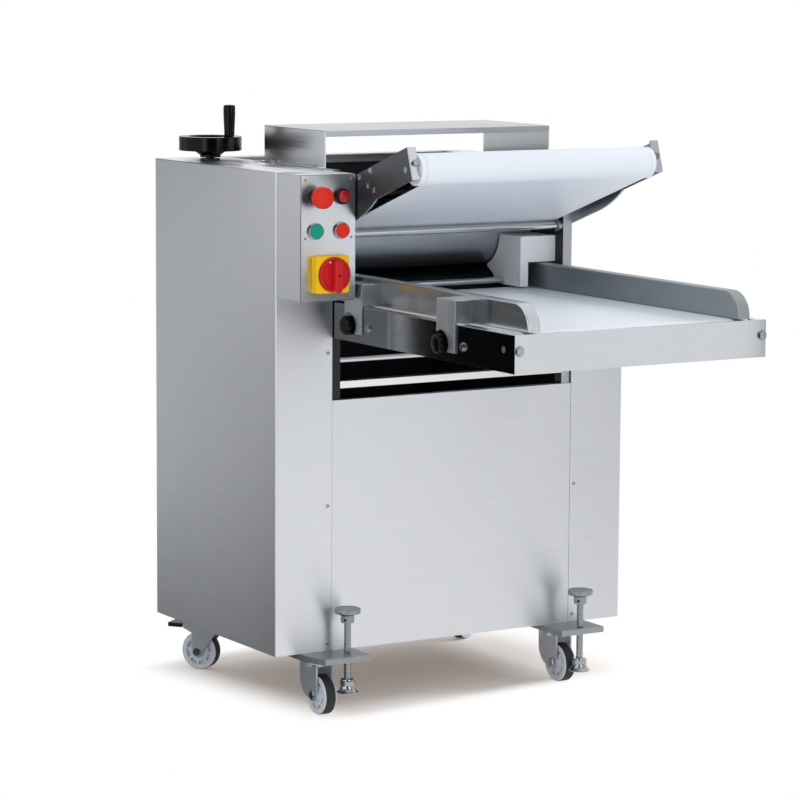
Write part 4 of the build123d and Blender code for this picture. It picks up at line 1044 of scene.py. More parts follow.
@dataclass
class Studio:
    """White studio with soft light and the camera of the view."""

    camera_place: Point = (-3235.68, -5079.79, 1394.86)
    yaw: float = 31.2737
    pitch: float = 7.7083
    roll: float = 0.37632
    lens: float = 144.935
    sensor: float = 36.0
    sight: float = 100.0
    floor_half: float = 9000.0
    floor_colour: str = "F0F0F0"
    shadow_middle: Point = (65.0, 340.0, 0.0)
    shadow_half: Point = (305.0, 262.0, 1.0)
    shadow_turn: float = 8.0
    shadow_fade: Point = (170.0, 75.0, 1000.0)
    shadow_tone: str = "74675B"
    ambient: float = 0.68
    ambient_colour: str = "F4F6FA"
    lamps: Sequence[Lamp] = (
        Lamp("overhead_softbox", (0, 0, 3000), ORIGIN, (2600, 2600), 9),
        Lamp("left_softbox", (-2392, -1455, 1250), (0, 0, 1000), (800, 1700), 8, True),
        Lamp("front_softbox", (-151, -2796, 1250), (0, 0, 1000), (800, 1700), 8, True),
        Lamp("low_front_fill", (-800, -2700, 620), (0, 0, 800), (3000, 500), 10),
        Lamp("right_fill", (2200, -150, 1650), (0, -120, 780), (1500, 900), 40),
    )
    cards: Sequence[StandingCard | FloorCard] = (
        StandingCard("rear_left_dark_card", "121314", REAR_LEFT, 1700, (-1100, -342), (0, 800)),
        StandingCard("rear_left_dark_strip", "121314", REAR_LEFT, 1690, (-309, -205), (430, 660)),
        StandingCard("rear_left_gray_card", "BABBBC", REAR_LEFT, 1700, (-250, 700), (0, 1100)),
        StandingCard("rear_left_upper_card", "6E6F70", REAR_LEFT, 1700, (-250, 700), (1100, 4000)),
        StandingCard("camera_side_card", "121314", CAMERA_SIDE, 2800, (-1300, 1300), (0, 3600)),
        FloorCard("left_floor_card", "585959", (-1500, -100), (-330, 1500)),
        StandingCard("front_right_gray_card", "BABBBC", FRONT_RIGHT, 2600, (-1500, -150), (0, 2500)),
    )

    def build(self) -> None:
        """Makes the floor, the world, the lamps, the cards and the camera."""
        bpy.context.scene.view_settings.view_transform = "Standard"
        self.floor()
        self.world()
        for thing in (*self.lamps, *self.cards):
            thing.build()
        self.camera()

    def background_ray(self, tree: bpy.types.NodeTree) -> bpy.types.NodeSocket:
        """Adds the test for rays that see the plain background.

        Args:
            tree: Node tree of the floor or the world.

        Returns:
            1 for camera, glossy and transmission rays, else 0.
        """
        path = add_node(tree, "ShaderNodeLightPath")
        seen = path.outputs["Is Camera Ray"]
        for rays in ("Is Glossy Ray", "Is Transmission Ray"):
            links = {0: seen, 1: path.outputs[rays]}
            seen = add_node(tree, "ShaderNodeMath", {"operation": "MAXIMUM"}, links).outputs[0]
        return seen

    def shadow_fade_out(self, tree: bpy.types.NodeTree) -> bpy.types.NodeSocket:
        """Adds the fade from the patch of floor under the press to the white round it.

        Args:
            tree: Node tree of the floor.

        Returns:
            0 in the patch, 1 beyond its fading edge.
        """
        place = add_node(tree, "ShaderNodeTexCoord")
        settings = {
            "vector_type": "TEXTURE",
            "Location": metres(self.shadow_middle),
            "Rotation": (0, 0, math.radians(self.shadow_turn)),
        }
        turn = add_node(tree, "ShaderNodeMapping", settings, {"Vector": place.outputs["Object"]})
        link = turn.outputs["Vector"]
        steps = (
            ("ABSOLUTE", ORIGIN),
            ("SUBTRACT", metres(self.shadow_half)),
            ("MAXIMUM", ORIGIN),
            ("DIVIDE", metres(self.shadow_fade)),
        )
        for operation, value in steps:
            step = add_node(tree, "ShaderNodeVectorMath", {"operation": operation, 1: value}, {0: link})
            link = step.outputs[0]
        reach = add_node(tree, "ShaderNodeVectorMath", {"operation": "LENGTH"}, {0: link})
        settings = {"interpolation_type": "SMOOTHSTEP", "From Min": 0.0, "From Max": 1.0}
        return add_node(tree, "ShaderNodeMapRange", settings, {0: reach.outputs["Value"]}).outputs[0]

    def floor(self) -> None:
        """Makes the pale floor, which keeps the shadow under the press and fades to white round it."""
        deselect()
        bpy.ops.mesh.primitive_plane_add(size=2 * self.floor_half * MM)
        floor = bpy.context.object
        floor.name = "floor"
        material = bpy.data.materials.new("floor_paper_white")
        material.use_nodes = True
        tree = material.node_tree
        tree.nodes.remove(tree.nodes["Principled BSDF"])
        fade = self.shadow_fade_out(tree)
        seen = self.background_ray(tree)
        far = add_node(tree, "ShaderNodeMath", {"operation": "MULTIPLY"}, {0: fade, 1: seen})
        paper = add_node(tree, "ShaderNodeBsdfDiffuse", {"Color": linear(self.floor_colour)})
        lift = add_node(tree, "ShaderNodeEmission", {"Color": linear(self.shadow_tone)}, {"Strength": seen})
        near = add_node(tree, "ShaderNodeAddShader", None, {0: paper.outputs[0], 1: lift.outputs[0]})
        white = add_node(tree, "ShaderNodeEmission", {"Color": (1, 1, 1, 1), "Strength": 1.0})
        links = {0: far.outputs[0], 1: near.outputs[0], 2: white.outputs[0]}
        total = add_node(tree, "ShaderNodeMixShader", None, links)
        tree.links.new(total.outputs[0], tree.nodes["Material Output"].inputs["Surface"])
        floor.data.materials.append(material)

    def world(self) -> None:
        """Makes the world white to the eye and in metal, and softer as light."""
        world = bpy.data.worlds.new("studio")
        bpy.context.scene.world = world
        world.use_nodes = True
        tree = world.node_tree
        settings = {"Color": linear(self.ambient_colour), "Strength": self.ambient}
        dim = add_node(tree, "ShaderNodeBackground", settings)
        white = tree.nodes["Background"]
        white.inputs["Color"].default_value = (1, 1, 1, 1)
        white.inputs["Strength"].default_value = 1.0
        links = {0: self.background_ray(tree), 1: dim.outputs[0], 2: white.outputs[0]}
        mix = add_node(tree, "ShaderNodeMixShader", None, links)
        tree.links.new(mix.outputs[0], tree.nodes["World Output"].inputs["Surface"])

    def camera(self) -> None:
        """Places the camera at the photograph's viewing angle."""
        yaw, pitch, roll = (math.radians(a) for a in (self.yaw, self.pitch, self.roll))
        ahead = Vector((math.sin(yaw) * math.cos(pitch), math.cos(yaw) * math.cos(pitch), -math.sin(pitch)))
        level = Vector((math.cos(yaw), -math.sin(yaw), 0))
        upright = level.cross(ahead)
        right = level * math.cos(roll) + upright * math.sin(roll)
        up = upright * math.cos(roll) - level * math.sin(roll)
        data = bpy.data.cameras.new("camera")
        data.lens = self.lens
        data.sensor_width = self.sensor
        data.clip_end = self.sight
        camera = bpy.data.objects.new("camera", data)
        bpy.context.scene.collection.objects.link(camera)
        turn = Matrix((right, up, -ahead)).transposed().to_4x4()
        camera.matrix_world = Matrix.Translation(metres(self.camera_place)) @ turn
        bpy.context.scene.camera = camera


@dataclass
class Cabinet:
    """Housings, panels, frame plates, bridge and what stands inside them."""

    bend: float = 2.5
    # Least parts of a face's normal, to the front and to the side, for a fold that gets the painted
    # highlight
    fold_front: float = 0.2
    fold_side: float = 0.3
    # Height in millimetres below which the rear panel's inside gets painted shade
    painted_shade_top: float = 999.0
    bridge_bend: float = 2.0
    bridge_skin: float = 2.0
    lip: float = 13.0
    lip_front: float = 0.7
    # Height in millimetres below which the tie bars get a painted highlight
    bar_highlight_top: float = 626.0
    bar_deburr: float = 0.3
    plate_deburr: float = 0.8
    collar: Rings = ((7.1, 0), (11.5, 0), (12, 0.6), (12, 7.2), (11.2, 8), (7.1, 8))
    collar_place: Point = (248.0, 66.842, 898.0)
    catch_low: Point = (235.0, 56.0, 594.0)
    catch_high: Point = (252.0, 70.0, 612.4)
    catch_round: float = 2.5

    def build(self) -> None:
        """Dresses the sheet metal and what stands inside it."""
        self.sheets()
        self.bridge()
        for node, side in zip(("left_frame_plate", "right_frame_plate"), SIDES):
            self.frame_plate(node, side)
        bars = dress_node(
            "cross_members", "tie_bars", Finishes.polished_bar, deburr=self.bar_deburr
        )
        # The tie bars below that height get a painted highlight
        dress_faces(bars, Finishes.painted_highlight_sheet, lambda f: f.center.z < self.bar_highlight_top * MM)
        self.rod_collars()
        self.catch()
        # Base plate and chute get painted shade, dark as the shaded inside of the press
        keep(Finishes.painted_shade_plate, "base_plate", "return_chute")
        keep(Finishes.cast_iron, "bearings", "lift_blocks")
        keep(Finishes.turned_steel, "drive_chains", "motor_sprocket", "counter_shaft", "cross_shaft")
        keep(Finishes.motor_paint, "gear_motor")

    def sheets(self) -> None:
        """Dresses housings and panels: a painted highlight on the front panel's folds, painted shade on the
        rear one's inside.
        """
        for node in ("left_housing", "right_housing", "front_panel"):
            sheet = dress_node(node, f"{node}_sheet", Finishes.side_sheet, self.bend)
        # The front panel's folds get a painted highlight
        dress_faces(
            sheet,
            Finishes.painted_highlight_sheet,
            lambda f: f.normal.y < -self.fold_front and abs(f.normal.x) > self.fold_side,
        )
        rear = softened("rear_panel", "rear_panel_sheet", self.bend)
        split_level(rear, self.painted_shade_top)
        dress(rear, Finishes.side_sheet, "cabinet", ["rear_panel"])
        # Painted shade on the rear panel's inside below that height
        dress_faces(
            rear,
            Finishes.painted_shade_plate,
            lambda f: f.normal.y < -LOOKS and f.center.z < self.painted_shade_top * MM,
        )

    def bridge(self) -> None:
        """Dresses the bridge, with a streaked top and a dull lip."""
        bridge = dress_node(
            "top_bridge", "bridge_sheet", Finishes.bridge_sheet, self.bridge_bend
        )
        top = corners("top_bridge")[1].z * MM
        skin, lip = top - self.bridge_skin * MM, top - self.lip * MM
        dress_faces(bridge, Finishes.bridge_top, lambda f: f.normal.z > LOOKS and f.center.z > skin)
        dress_faces(bridge, Finishes.bridge_lip, lambda f: f.normal.y < -self.lip_front and f.center.z > lip)

    def frame_plate(self, node: str, side: int) -> None:
        """Dresses a frame plate, with its edges ground and painted shade on all but its top on the left
        plate, on its inner face on the right plate.

        Args:
            node: CAD node of the plate.
            side: -1 for the left plate, 1 for the right one.
        """
        plate = dress_node(
            node, f"{node}_ground", Finishes.frame_plate, deburr=self.plate_deburr
        )
        # Painted shade where the plate faces the shaded inside
        dress_faces(
            plate,
            Finishes.painted_shade_plate,
            lambda f: f.normal.z < LOOKS and (side < 0 or f.normal.x < -LOOKS),
        )

    def rod_collars(self) -> None:
        """Sets a collar on each end of the upper rod, against the frame plates."""
        x, y, z = self.collar_place
        spots = [((side * x, y, z), (-side, 0, 0)) for side in SIDES]
        collars = join("rod_collars", spread(turned("rod_collar", self.collar, bored=True), spots))
        dress(collars, Finishes.turned_steel, "cabinet")

    def catch(self) -> None:
        """Hangs the small catch under the right end of the cross bar."""
        catch = block("panel_catch", self.catch_low, self.catch_high)
        round_edges(catch, self.catch_round, lies_at(2, self.catch_low[2]))
        dress(catch, Finishes.black_plastic, "cabinet")


@dataclass
class PressRollers:
    """The two press rollers and the sheet guides before them."""

    guide_bend: float = 1.0
    guide_width: float = 80.0
    hole: Rings = ((2.6, -4), (2.6, 6))
    hole_spots: Sequence[Pair] = ((120.8, 805.5), (91.5, 804.3))
    left_wall: Pair = (-216.0, -180.0)
    draw_in: float = 10.0
    rod: Rings = ((5.6, 0), (6.5, 0.9), (6.5, 367.6), (5.6, 368.5))
    rod_place: Point = (-200.8, 141.0, 788.5)
    rod_smooth: float = 40.0

    def build(self) -> None:
        """Dresses the rollers and the dough guides, and models the rod under the upper roller."""
        # The lower roller gets painted shade, nearly black
        keep(Finishes.painted_shade_roller, "lower_roller")
        keep(Finishes.ground_roller, "upper_roller")
        guides = softened("dough_guides", "guide_sheets", self.guide_bend)
        self.narrow(guides)
        face = corners("dough_guides")[1].x - self.guide_width
        cutters = [
            turned(f"guide_hole_{i}", self.hole, (face, *spot), RIGHT, steps=24)
            for i, spot in enumerate(self.hole_spots)
        ]
        combine(guides, cutters, Solid.CUT)
        dress(guides, Finishes.guide_sheet, "cabinet", ["dough_guides"])
        rod = turned("transfer_rod", self.rod, self.rod_place, RIGHT, steps=48)
        dress(rod, Finishes.polished_bar, "cabinet", angle=self.rod_smooth)

    def narrow(self, guides: Piece) -> None:
        """Draws the inner wall of the left guide in, behind the control box.

        Args:
            guides: Piece of both guides.
        """
        start, end = (x * MM for x in self.left_wall)
        with editing(guides):
            select(guides, Pick.POINTS, lambda p: start < p.co.x < end)
            bpy.ops.transform.translate(value=metres((-self.draw_in, 0, 0)))


@dataclass
class Conveyors:
    """Inclined upper conveyor and flat table, with guards, brackets and knobs."""

    plate_bend: float = 1.2
    belt_deburr: float = 0.5
    guard_bend: float = 2.5
    end_disc: Rings = ((14, 0), (28.4, 0), (28.8, 0.4), (28.8, 10.2), (28, 11), (14, 11))
    disc_gap: float = 0.4
    knob: Rings = ((16.2, 0), (17.5, 1.2), (17.5, 10), (17, 12), (15.4, 13.8), (12.5, 15), (0.5, 15))
    stud: float = 5.0
    flutes: int = 9
    flute: Rings = ((3.2, 0.8), (3.2, 16))
    flute_reach: float = 18.6
    smooth: float = 40.0

    def build(self) -> None:
        """Dresses both conveyors."""
        # The left outer faces get painted shade: a dark sheen on the upper conveyor's plate, a darker mirror
        # on the table's
        for node, name, finish in (
            ("upper_frame", "upper_conveyor_plates", Finishes.painted_shade_sheet),
            ("table_frame", "table_sheet", Finishes.painted_shade_mirror),
        ):
            plates = dress_node(node, name, Finishes.polished_sheet, self.plate_bend)
            if node == "upper_frame":
                dress_faces(plates, Finishes.satin_sheet, lambda f: f.center.x > 0)
            dress_faces(plates, finish, lambda f: f.center.x < 0 and f.normal.x < -LOOKS)
        for name in ("upper", "table"):
            dress_node(
                f"{name}_belt",
                f"{name}_belt_loop",
                Finishes.belt,
                deburr=self.belt_deburr,
                angle=self.smooth,
            )
            keep(Finishes.turned_steel, f"{name}_front_roller", f"{name}_rear_roller")
        self.end_discs()
        for name, finish in (("left_guard", Finishes.guard_sheet), ("right_guard", Finishes.guard_satin)):
            dress_node(name, f"{name}_sheet", finish, self.guard_bend)
        dress_node(
            "guard_brackets", "guard_hangers", Finishes.hanger_sheet, self.plate_bend
        )
        self.knobs()

    def end_discs(self) -> None:
        """Models the white discs that keep the upper belt on its front roller."""
        place = middle("upper_front_roller")
        reach = corners("upper_belt")[1].x + self.disc_gap
        spots = [((side * reach, place.y, place.z), (side, 0, 0)) for side in SIDES]
        discs = spread(turned("end_disc", self.end_disc, steps=96, bored=True), spots)
        dress(join("belt_end_discs", discs), Finishes.belt, "cabinet", angle=self.smooth)

    def knobs(self) -> None:
        """Models the lobed clamping knobs with their studs."""
        low, high = corners("front_guard_knob")
        stand = self.knob[-1][1]
        reach = high.x - low.x - stand
        rings = [(self.stud, -reach), (self.stud, 0), *self.knob]
        master = turned("guard_knob", rings)
        flute = turned("flute", self.flute, (self.flute_reach, 0, 0), steps=24)
        combine(master, ring_of(flute, self.flutes), Solid.CUT)
        for name in ("front_guard_knob", "rear_guard_knob"):
            place = middle(name)
            place.x = low.x + stand
            knob = twin(master, f"{name}_moulding", place, (-1, 0, 0))
            dress(knob, Finishes.bakelite, name, [name])
        bpy.data.objects.remove(master)


@dataclass
class Handwheel:
    """Black handwheel with its revolving grip."""

    deburr: float = 0.5
    smooth: float = 50.0
    grip: Rings = (
        (4.05, 49), (4.05, 0), (9.2, 0), (9.75, 0.7), (10.1, 12), (11, 30), (11.5, 42),
        (11.5, 56), (11.1, 58.6), (9.8, 60.2), (7, 60.8), (0.5, 61),
    )

    def build(self) -> None:
        """Dresses the wheel and models the grip."""
        dress_node(
            "handwheel",
            "handwheel_moulding",
            Finishes.bakelite,
            deburr=self.deburr,
            body="handwheel",
            angle=self.smooth,
        )
        place = middle("handwheel_grip")
        place.z = corners("handwheel_grip")[0].z
        grip = turned("grip_moulding", self.grip, place, steps=48)
        dress(grip, Finishes.bakelite, "handwheel_grip", ["handwheel_grip"], self.smooth)


@dataclass
class ControlBox:
    """Control box with its buttons, lamp and rotary switch; heights of the rings run out of the face."""

    bend: float = 2.0
    shadow_gap_look: float = 0.6
    face_deburr: float = 0.8
    seam: float = 0.8
    estop: Rings = (
        (9, -14), (9, 19), (18.5, 19), (20, 20.5), (20, 28.5), (19.4, 33), (17.8, 36),
        (15, 37.9), (10, 38.7), (0.5, 39),
    )
    # Least part of a face's normal toward the back for the mushroom's painted shade
    estop_painted_shade: float = 0.3
    estop_collar: Rings = ((9.5, 0), (15, 0), (15, 9), (14, 10.5), (12.5, 11), (12.5, 14), (9.5, 14))
    lamp_bezel: Rings = ((11.6, 0), (15, 0), (15, 6), (14.2, 7), (12.4, 7), (11.6, 6.4))
    lamp_lens: Rings = ((11.4, 0), (11.4, 11), (10.6, 13), (8, 13.8), (0.5, 14))
    round_smooth: float = 50.0
    button_ring: Rings = ((13.4, 0), (15.4, 0), (15.4, 4.8), (14.8, 6.2), (13.9, 6.2), (13.4, 5.6))
    button: Rings = ((9, -14), (9, 4), (13.1, 4), (13.1, 8.2), (12.7, 9), (11.5, 9.6), (8, 9.3), (0.5, 9.1))
    dished_smooth: float = 40.0
    plate_corner: float = 4.0
    plate_edge: float = 1.2
    plate_ring: Rings = ((32.2, -1), (33.8, -1), (33.8, 2), (33.2, 2.8), (32.6, 2.8), (32.2, 2.4))
    plate_bore: Rings = ((6.5, -30), (6.5, 30))
    dial: Rings = (
        (6, -14), (6, 18.3), (30.7, 18.3), (31.5, 19.1), (31.5, 27), (31, 27.9), (30.2, 28.3),
        (28.6, 28.3), (27.6, 27.9), (27.1, 27), (26.8, 25.6), (26, 25.2), (0.5, 25.2),
    )
    ridge_half: float = 8.0
    ridge_span: Pair = (-32.0, 27.6)
    ridge_heights: Pair = (24.5, 42.2)
    ridge_hole: Rings = ((2.3, -5), (2.3, 5))
    ridge_edge: float = 3.5
    mark_low: Pair = (-13.0, 22.0)
    mark_high: Pair = (-8.6, 27.4)
    mark_half: float = 0.5
    mark_corner: float = 1.2

    def build(self) -> None:
        """Dresses the box and models its fittings."""
        box = dress_node("control_box", "control_case", Finishes.side_sheet, self.bend)
        # The case's front is painted black as the shadow gap round the control face
        dress_faces(box, Finishes.black_plastic, lambda f: f.normal.y < -self.shadow_gap_look)
        face = softened("control_face", "control_plate", deburr=self.face_deburr)
        self.inset(face)
        dress(face, Finishes.face_sheet, "cabinet", ["control_face"])
        self.estop_and_lamp()
        self.buttons()
        self.switch_plate()
        self.switch_dial()

    def inset(self, face: Piece) -> None:
        """Draws the edges of the control face in, so that the case's front, painted black as a painted
        shadow gap, shows as a dark seam round it.

        Args:
            face: Piece of the control face.
        """
        low, high = corners("control_face")
        shares = [1 - 2 * self.seam / (end - start) for start, end in zip(low, high)]
        centre = metres(middle("control_face"))
        with editing(face):
            bpy.ops.transform.resize(value=(shares[0], 1, shares[2]), center_override=centre)

    def on_face(self, x: float, z: float, out: float = 0.0) -> Point:
        """A place on the control face, or so far out of it."""
        return (x, corners("control_face")[0].y - out, z)

    def estop_and_lamp(self) -> None:
        """Models the mushroom head with its collar, and the lamp with its bezel."""
        head = middle("estop_head")
        place = self.on_face(head.x, head.z)
        mushroom = turned("estop_mushroom", self.estop, place, FORWARD)
        dress(mushroom, Finishes.red_plastic, "estop_head", ["estop_head"], self.round_smooth)
        # The mushroom's back gets painted shade in black
        dress_faces(mushroom, Finishes.black_plastic, lambda f: f.normal.y > self.estop_painted_shade)
        collar = turned("estop_collar", self.estop_collar, place, FORWARD, bored=True)
        place = self.on_face(middle("stop_button").x, head.z)
        bezel = turned("lamp_bezel", self.lamp_bezel, place, FORWARD, bored=True)
        for piece in (collar, bezel):
            dress(piece, Finishes.black_plastic, "cabinet")
        lens = turned("lamp_lens", self.lamp_lens, place, FORWARD)
        dress(lens, Finishes.lens_plastic, "cabinet", angle=self.round_smooth)

    def buttons(self) -> None:
        """Models the dished push buttons in their chromed rings."""
        spots = []
        for node, finish, slot in (
            ("start_button", Finishes.green_plastic, "green_plastic"),
            ("stop_button", Finishes.red_plastic, "red_plastic"),
        ):
            place = self.on_face(middle(node).x, middle(node).z)
            cap = turned(f"{node}_cap", self.button, place, FORWARD)
            dress(cap, finish, node, [node], self.dished_smooth)
            spots.append((place, FORWARD))
        rings = join("button_rings", spread(turned("button_ring", self.button_ring, bored=True), spots))
        dress(rings, Finishes.chrome_ring, "cabinet", ["panel_fittings"])

    def switch_plate(self) -> None:
        """Models the switch plate with the ring round its dial."""
        low, high = corners("switch_plate")
        place = middle("switch_plate")
        place.y = low.y
        plate = block("switch_base", low, high)
        round_edges(plate, self.plate_corner, runs_along(1))
        round_edges(plate, self.plate_edge, lies_at(1, low.y))
        combine(plate, [turned("switch_ring", self.plate_ring, place, FORWARD, bored=True)], Solid.MELT)
        combine(plate, [turned("switch_bore", self.plate_bore, place, FORWARD, steps=32)], Solid.CUT)
        dress(plate, Finishes.yellow_plastic, "cabinet", ["switch_plate"])

    def switch_dial(self) -> None:
        """Models the switch dial with its ridge and its index."""
        x, z = middle("switch_plate").x, middle("switch_plate").z
        dial = turned("switch_knob", self.dial, self.on_face(x, z), FORWARD, steps=96)
        half, (foot, head) = self.ridge_half, self.ridge_span
        back, front = (self.on_face(x, z, out)[1] for out in self.ridge_heights)
        ridge = block("ridge", (x - half, front, z + foot), (x + half, back, z + head))
        round_edges(ridge, 2 * self.ridge_edge, runs_along(1), 5)
        round_edges(ridge, self.ridge_edge, lies_at(1, front), 4)
        combine(dial, [ridge], Solid.MELT)
        hole = turned("ridge_hole", self.ridge_hole, (x, front, z), FORWARD, steps=24)
        combine(dial, [hole], Solid.CUT)
        dress(dial, Finishes.dial_plastic, "switch_dial", ["switch_dial"], self.dished_smooth)
        face = self.on_face(x, z, self.dial[-1][1])[1]
        mark = block(
            "switch_index",
            (x + self.mark_low[0], face - self.mark_half, z + self.mark_low[1]),
            (x + self.mark_high[0], face + self.mark_half, z + self.mark_high[1]),
        )
        round_edges(mark, self.mark_corner, runs_along(1))
        dress(mark, Finishes.white_mark, "switch_dial")


@dataclass
class Fixings:
    """Cross-head screws and hexagon bolts of the sheet metal; a size is a head's radius and its stand."""

    sunk: float = 0.4
    housing_screw: Pair = (3.5, 2.0)
    housing_x: float = 277.0
    housing_rises: Sequence[tuple[int, float]] = ((-1, 16), (-1, 275), (-1, 562), (1, 16), (1, 275))
    face_screw: Pair = (2.5, 1.2)
    face_inset: float = 9.0
    top_screw: Pair = (4.0, 2.4)
    top_spots: Sequence[Pair] = ((-275.0, 330.0), (-275.0, 263.0), (-282.0, 70.0))
    foot_spots: Sequence[Pair] = ((256.5, 152.0), (256.5, 300.0))
    foot_sheet: float = 2.5
    tension_bolt: Pair = (8.0, 6.0)
    tension_x: float = 257.0
    tension_rise: float = 39.0
    side_bolt: Pair = (7.0, 5.0)
    side_rise: float = 30.0
    side_reaches: Sequence[tuple[int, float]] = (
        (-1, 162), (-1, 483.1), (1, 162), (1, 483.1), (1, 232), (1, 551),
    )
    plate_bolt: Pair = (5.0, 3.5)
    plate_x: float = 272.0
    plate_length: float = 337.6
    plate_spots: Sequence[Pair] = ((0.34, 29.6), (0.47, 29.6), (0.4, 7.4), (0.345, -5.55))
    nose: Pair = (-213.158, 1034.0)
    slope: float = 18.6
    flange_bolt: Pair = (6.0, 6.0)
    flange_place: Point = (261.0, -228.0, 1046.4)
    pan_rings: Rings = ((1, 0.35), (0.93, 0.65), (0.72, 0.88), (0.4, 1), (0.1, 1))
    cross: Pair = (0.62, 0.13)
    cross_depth: float = 0.4
    washer_rings: Rings = ((1.22, 0.8), (1.16, 1))
    hexagon_foot: float = 0.5
    hexagon_rings: Rings = ((1, 0.8), (0.9, 0.97), (0.8, 1))

    def build(self) -> None:
        """Models the screws and bolts and sets them on the sheets."""
        screws = join("cross_head_screws", self.housing_screws() + self.face_screws() + self.top_screws())
        dress(screws, Finishes.bolt_steel, "cabinet", ["fasteners"])
        bolts = join("hexagon_bolts", self.table_bolts() + self.upper_bolts())
        dress(bolts, Finishes.bolt_steel, "cabinet")

    def pan_head(self, name: str, size: Pair) -> Piece:
        """Models a pan head with a cross recess.

        Args:
            name: Name of the piece.
            size: Radius and stand in millimetres.

        Returns:
            The screw at the origin, pointing up.
        """
        radius, stand = size
        rings = [(radius, -self.sunk), *((radius * r, stand * h) for r, h in self.pan_rings)]
        head = turned(name, rings, steps=24)
        long, thin = (share * radius for share in self.cross)
        foot, top = self.cross_depth * stand, 2 * stand
        slots = [block("slot", (-x, -y, foot), (x, y, top)) for x, y in ((long, thin), (thin, long))]
        return combine(head, slots, Solid.CUT)

    def hex_head(self, name: str, size: Pair) -> Piece:
        """Models a chamfered hexagon head on its washer.

        Args:
            name: Name of the piece.
            size: Radius over the corners and stand in millimetres.

        Returns:
            The bolt at the origin, pointing up.
        """
        radius, stand = size
        edge = [(radius * r, h) for r, h in self.washer_rings]
        washer = turned(name, [(edge[0][0], -self.sunk), *edge], steps=32)
        rings = [(radius, self.hexagon_foot), *((radius * r, stand * h) for r, h in self.hexagon_rings)]
        return combine(washer, [turned("hexagon", rings, steps=6)], Solid.MELT)

    def housing_screws(self) -> list[Piece]:
        """Sets the screws of the housings' front flanges.

        Returns:
            The screws, in place.
        """
        y, z = corners("left_housing")[0].y, corners("front_panel")[0].z
        spots = [((side * self.housing_x, y, z + rise), FORWARD) for side, rise in self.housing_rises]
        return spread(self.pan_head("housing_screw", self.housing_screw), spots)

    def face_screws(self) -> list[Piece]:
        """Sets the six screws of the control face.

        Returns:
            The screws, in place.
        """
        low, high = corners("control_face")
        rows = (low.z + self.face_inset, (low.z + high.z) / 2, high.z - self.face_inset)
        columns = (low.x + self.face_inset, high.x - self.face_inset)
        spots = [((x, low.y, z), FORWARD) for x in columns for z in rows]
        return spread(self.pan_head("face_screw", self.face_screw), spots)

    def top_screws(self) -> list[Piece]:
        """Sets the screws on the left housing's top and on the bridge's feet.

        Returns:
            The screws, in place.
        """
        top = corners("left_housing")[1].z
        spots = [((x, y, top), UP) for x, y in self.top_spots]
        spots += [((side * x, y, top + self.foot_sheet), UP) for side in SIDES for x, y in self.foot_spots]
        return spread(self.pan_head("top_screw", self.top_screw), spots)

    def table_bolts(self) -> list[Piece]:
        """Sets the tension bolts, the side bolts and the right brackets' bolts of the table.

        Returns:
            The bolts, in place.
        """
        low, high = corners("table_frame")
        spots = [((side * self.tension_x, low.y, low.z + self.tension_rise), FORWARD) for side in SIDES]
        bolts = spread(self.hex_head("tension_bolt", self.tension_bolt), spots)
        spots = [
            ((side * high.x, low.y + reach, low.z + self.side_rise), (side, 0, 0))
            for side, reach in self.side_reaches
        ]
        return bolts + spread(self.hex_head("side_bolt", self.side_bolt), spots)

    def upper_bolts(self) -> list[Piece]:
        """Sets the bolts of the upper conveyor's side plates and flanges.

        Returns:
            The bolts, in place.
        """
        across, along = math.sin(math.radians(self.slope)), math.cos(math.radians(self.slope))
        spots = []
        for side in SIDES:
            for share, rise in self.plate_spots:
                run = self.plate_length * share
                y = self.nose[0] + run * along + rise * across
                z = self.nose[1] - run * across + rise * along
                spots.append(((side * self.plate_x, y, z), (side, 0, 0)))
        bolts = spread(self.hex_head("plate_bolt", self.plate_bolt), spots)
        x, y, z = self.flange_place
        spots = [((side * x, y, z), (0, -along, across)) for side in SIDES]
        return bolts + spread(self.hex_head("flange_bolt", self.flange_bolt), spots)


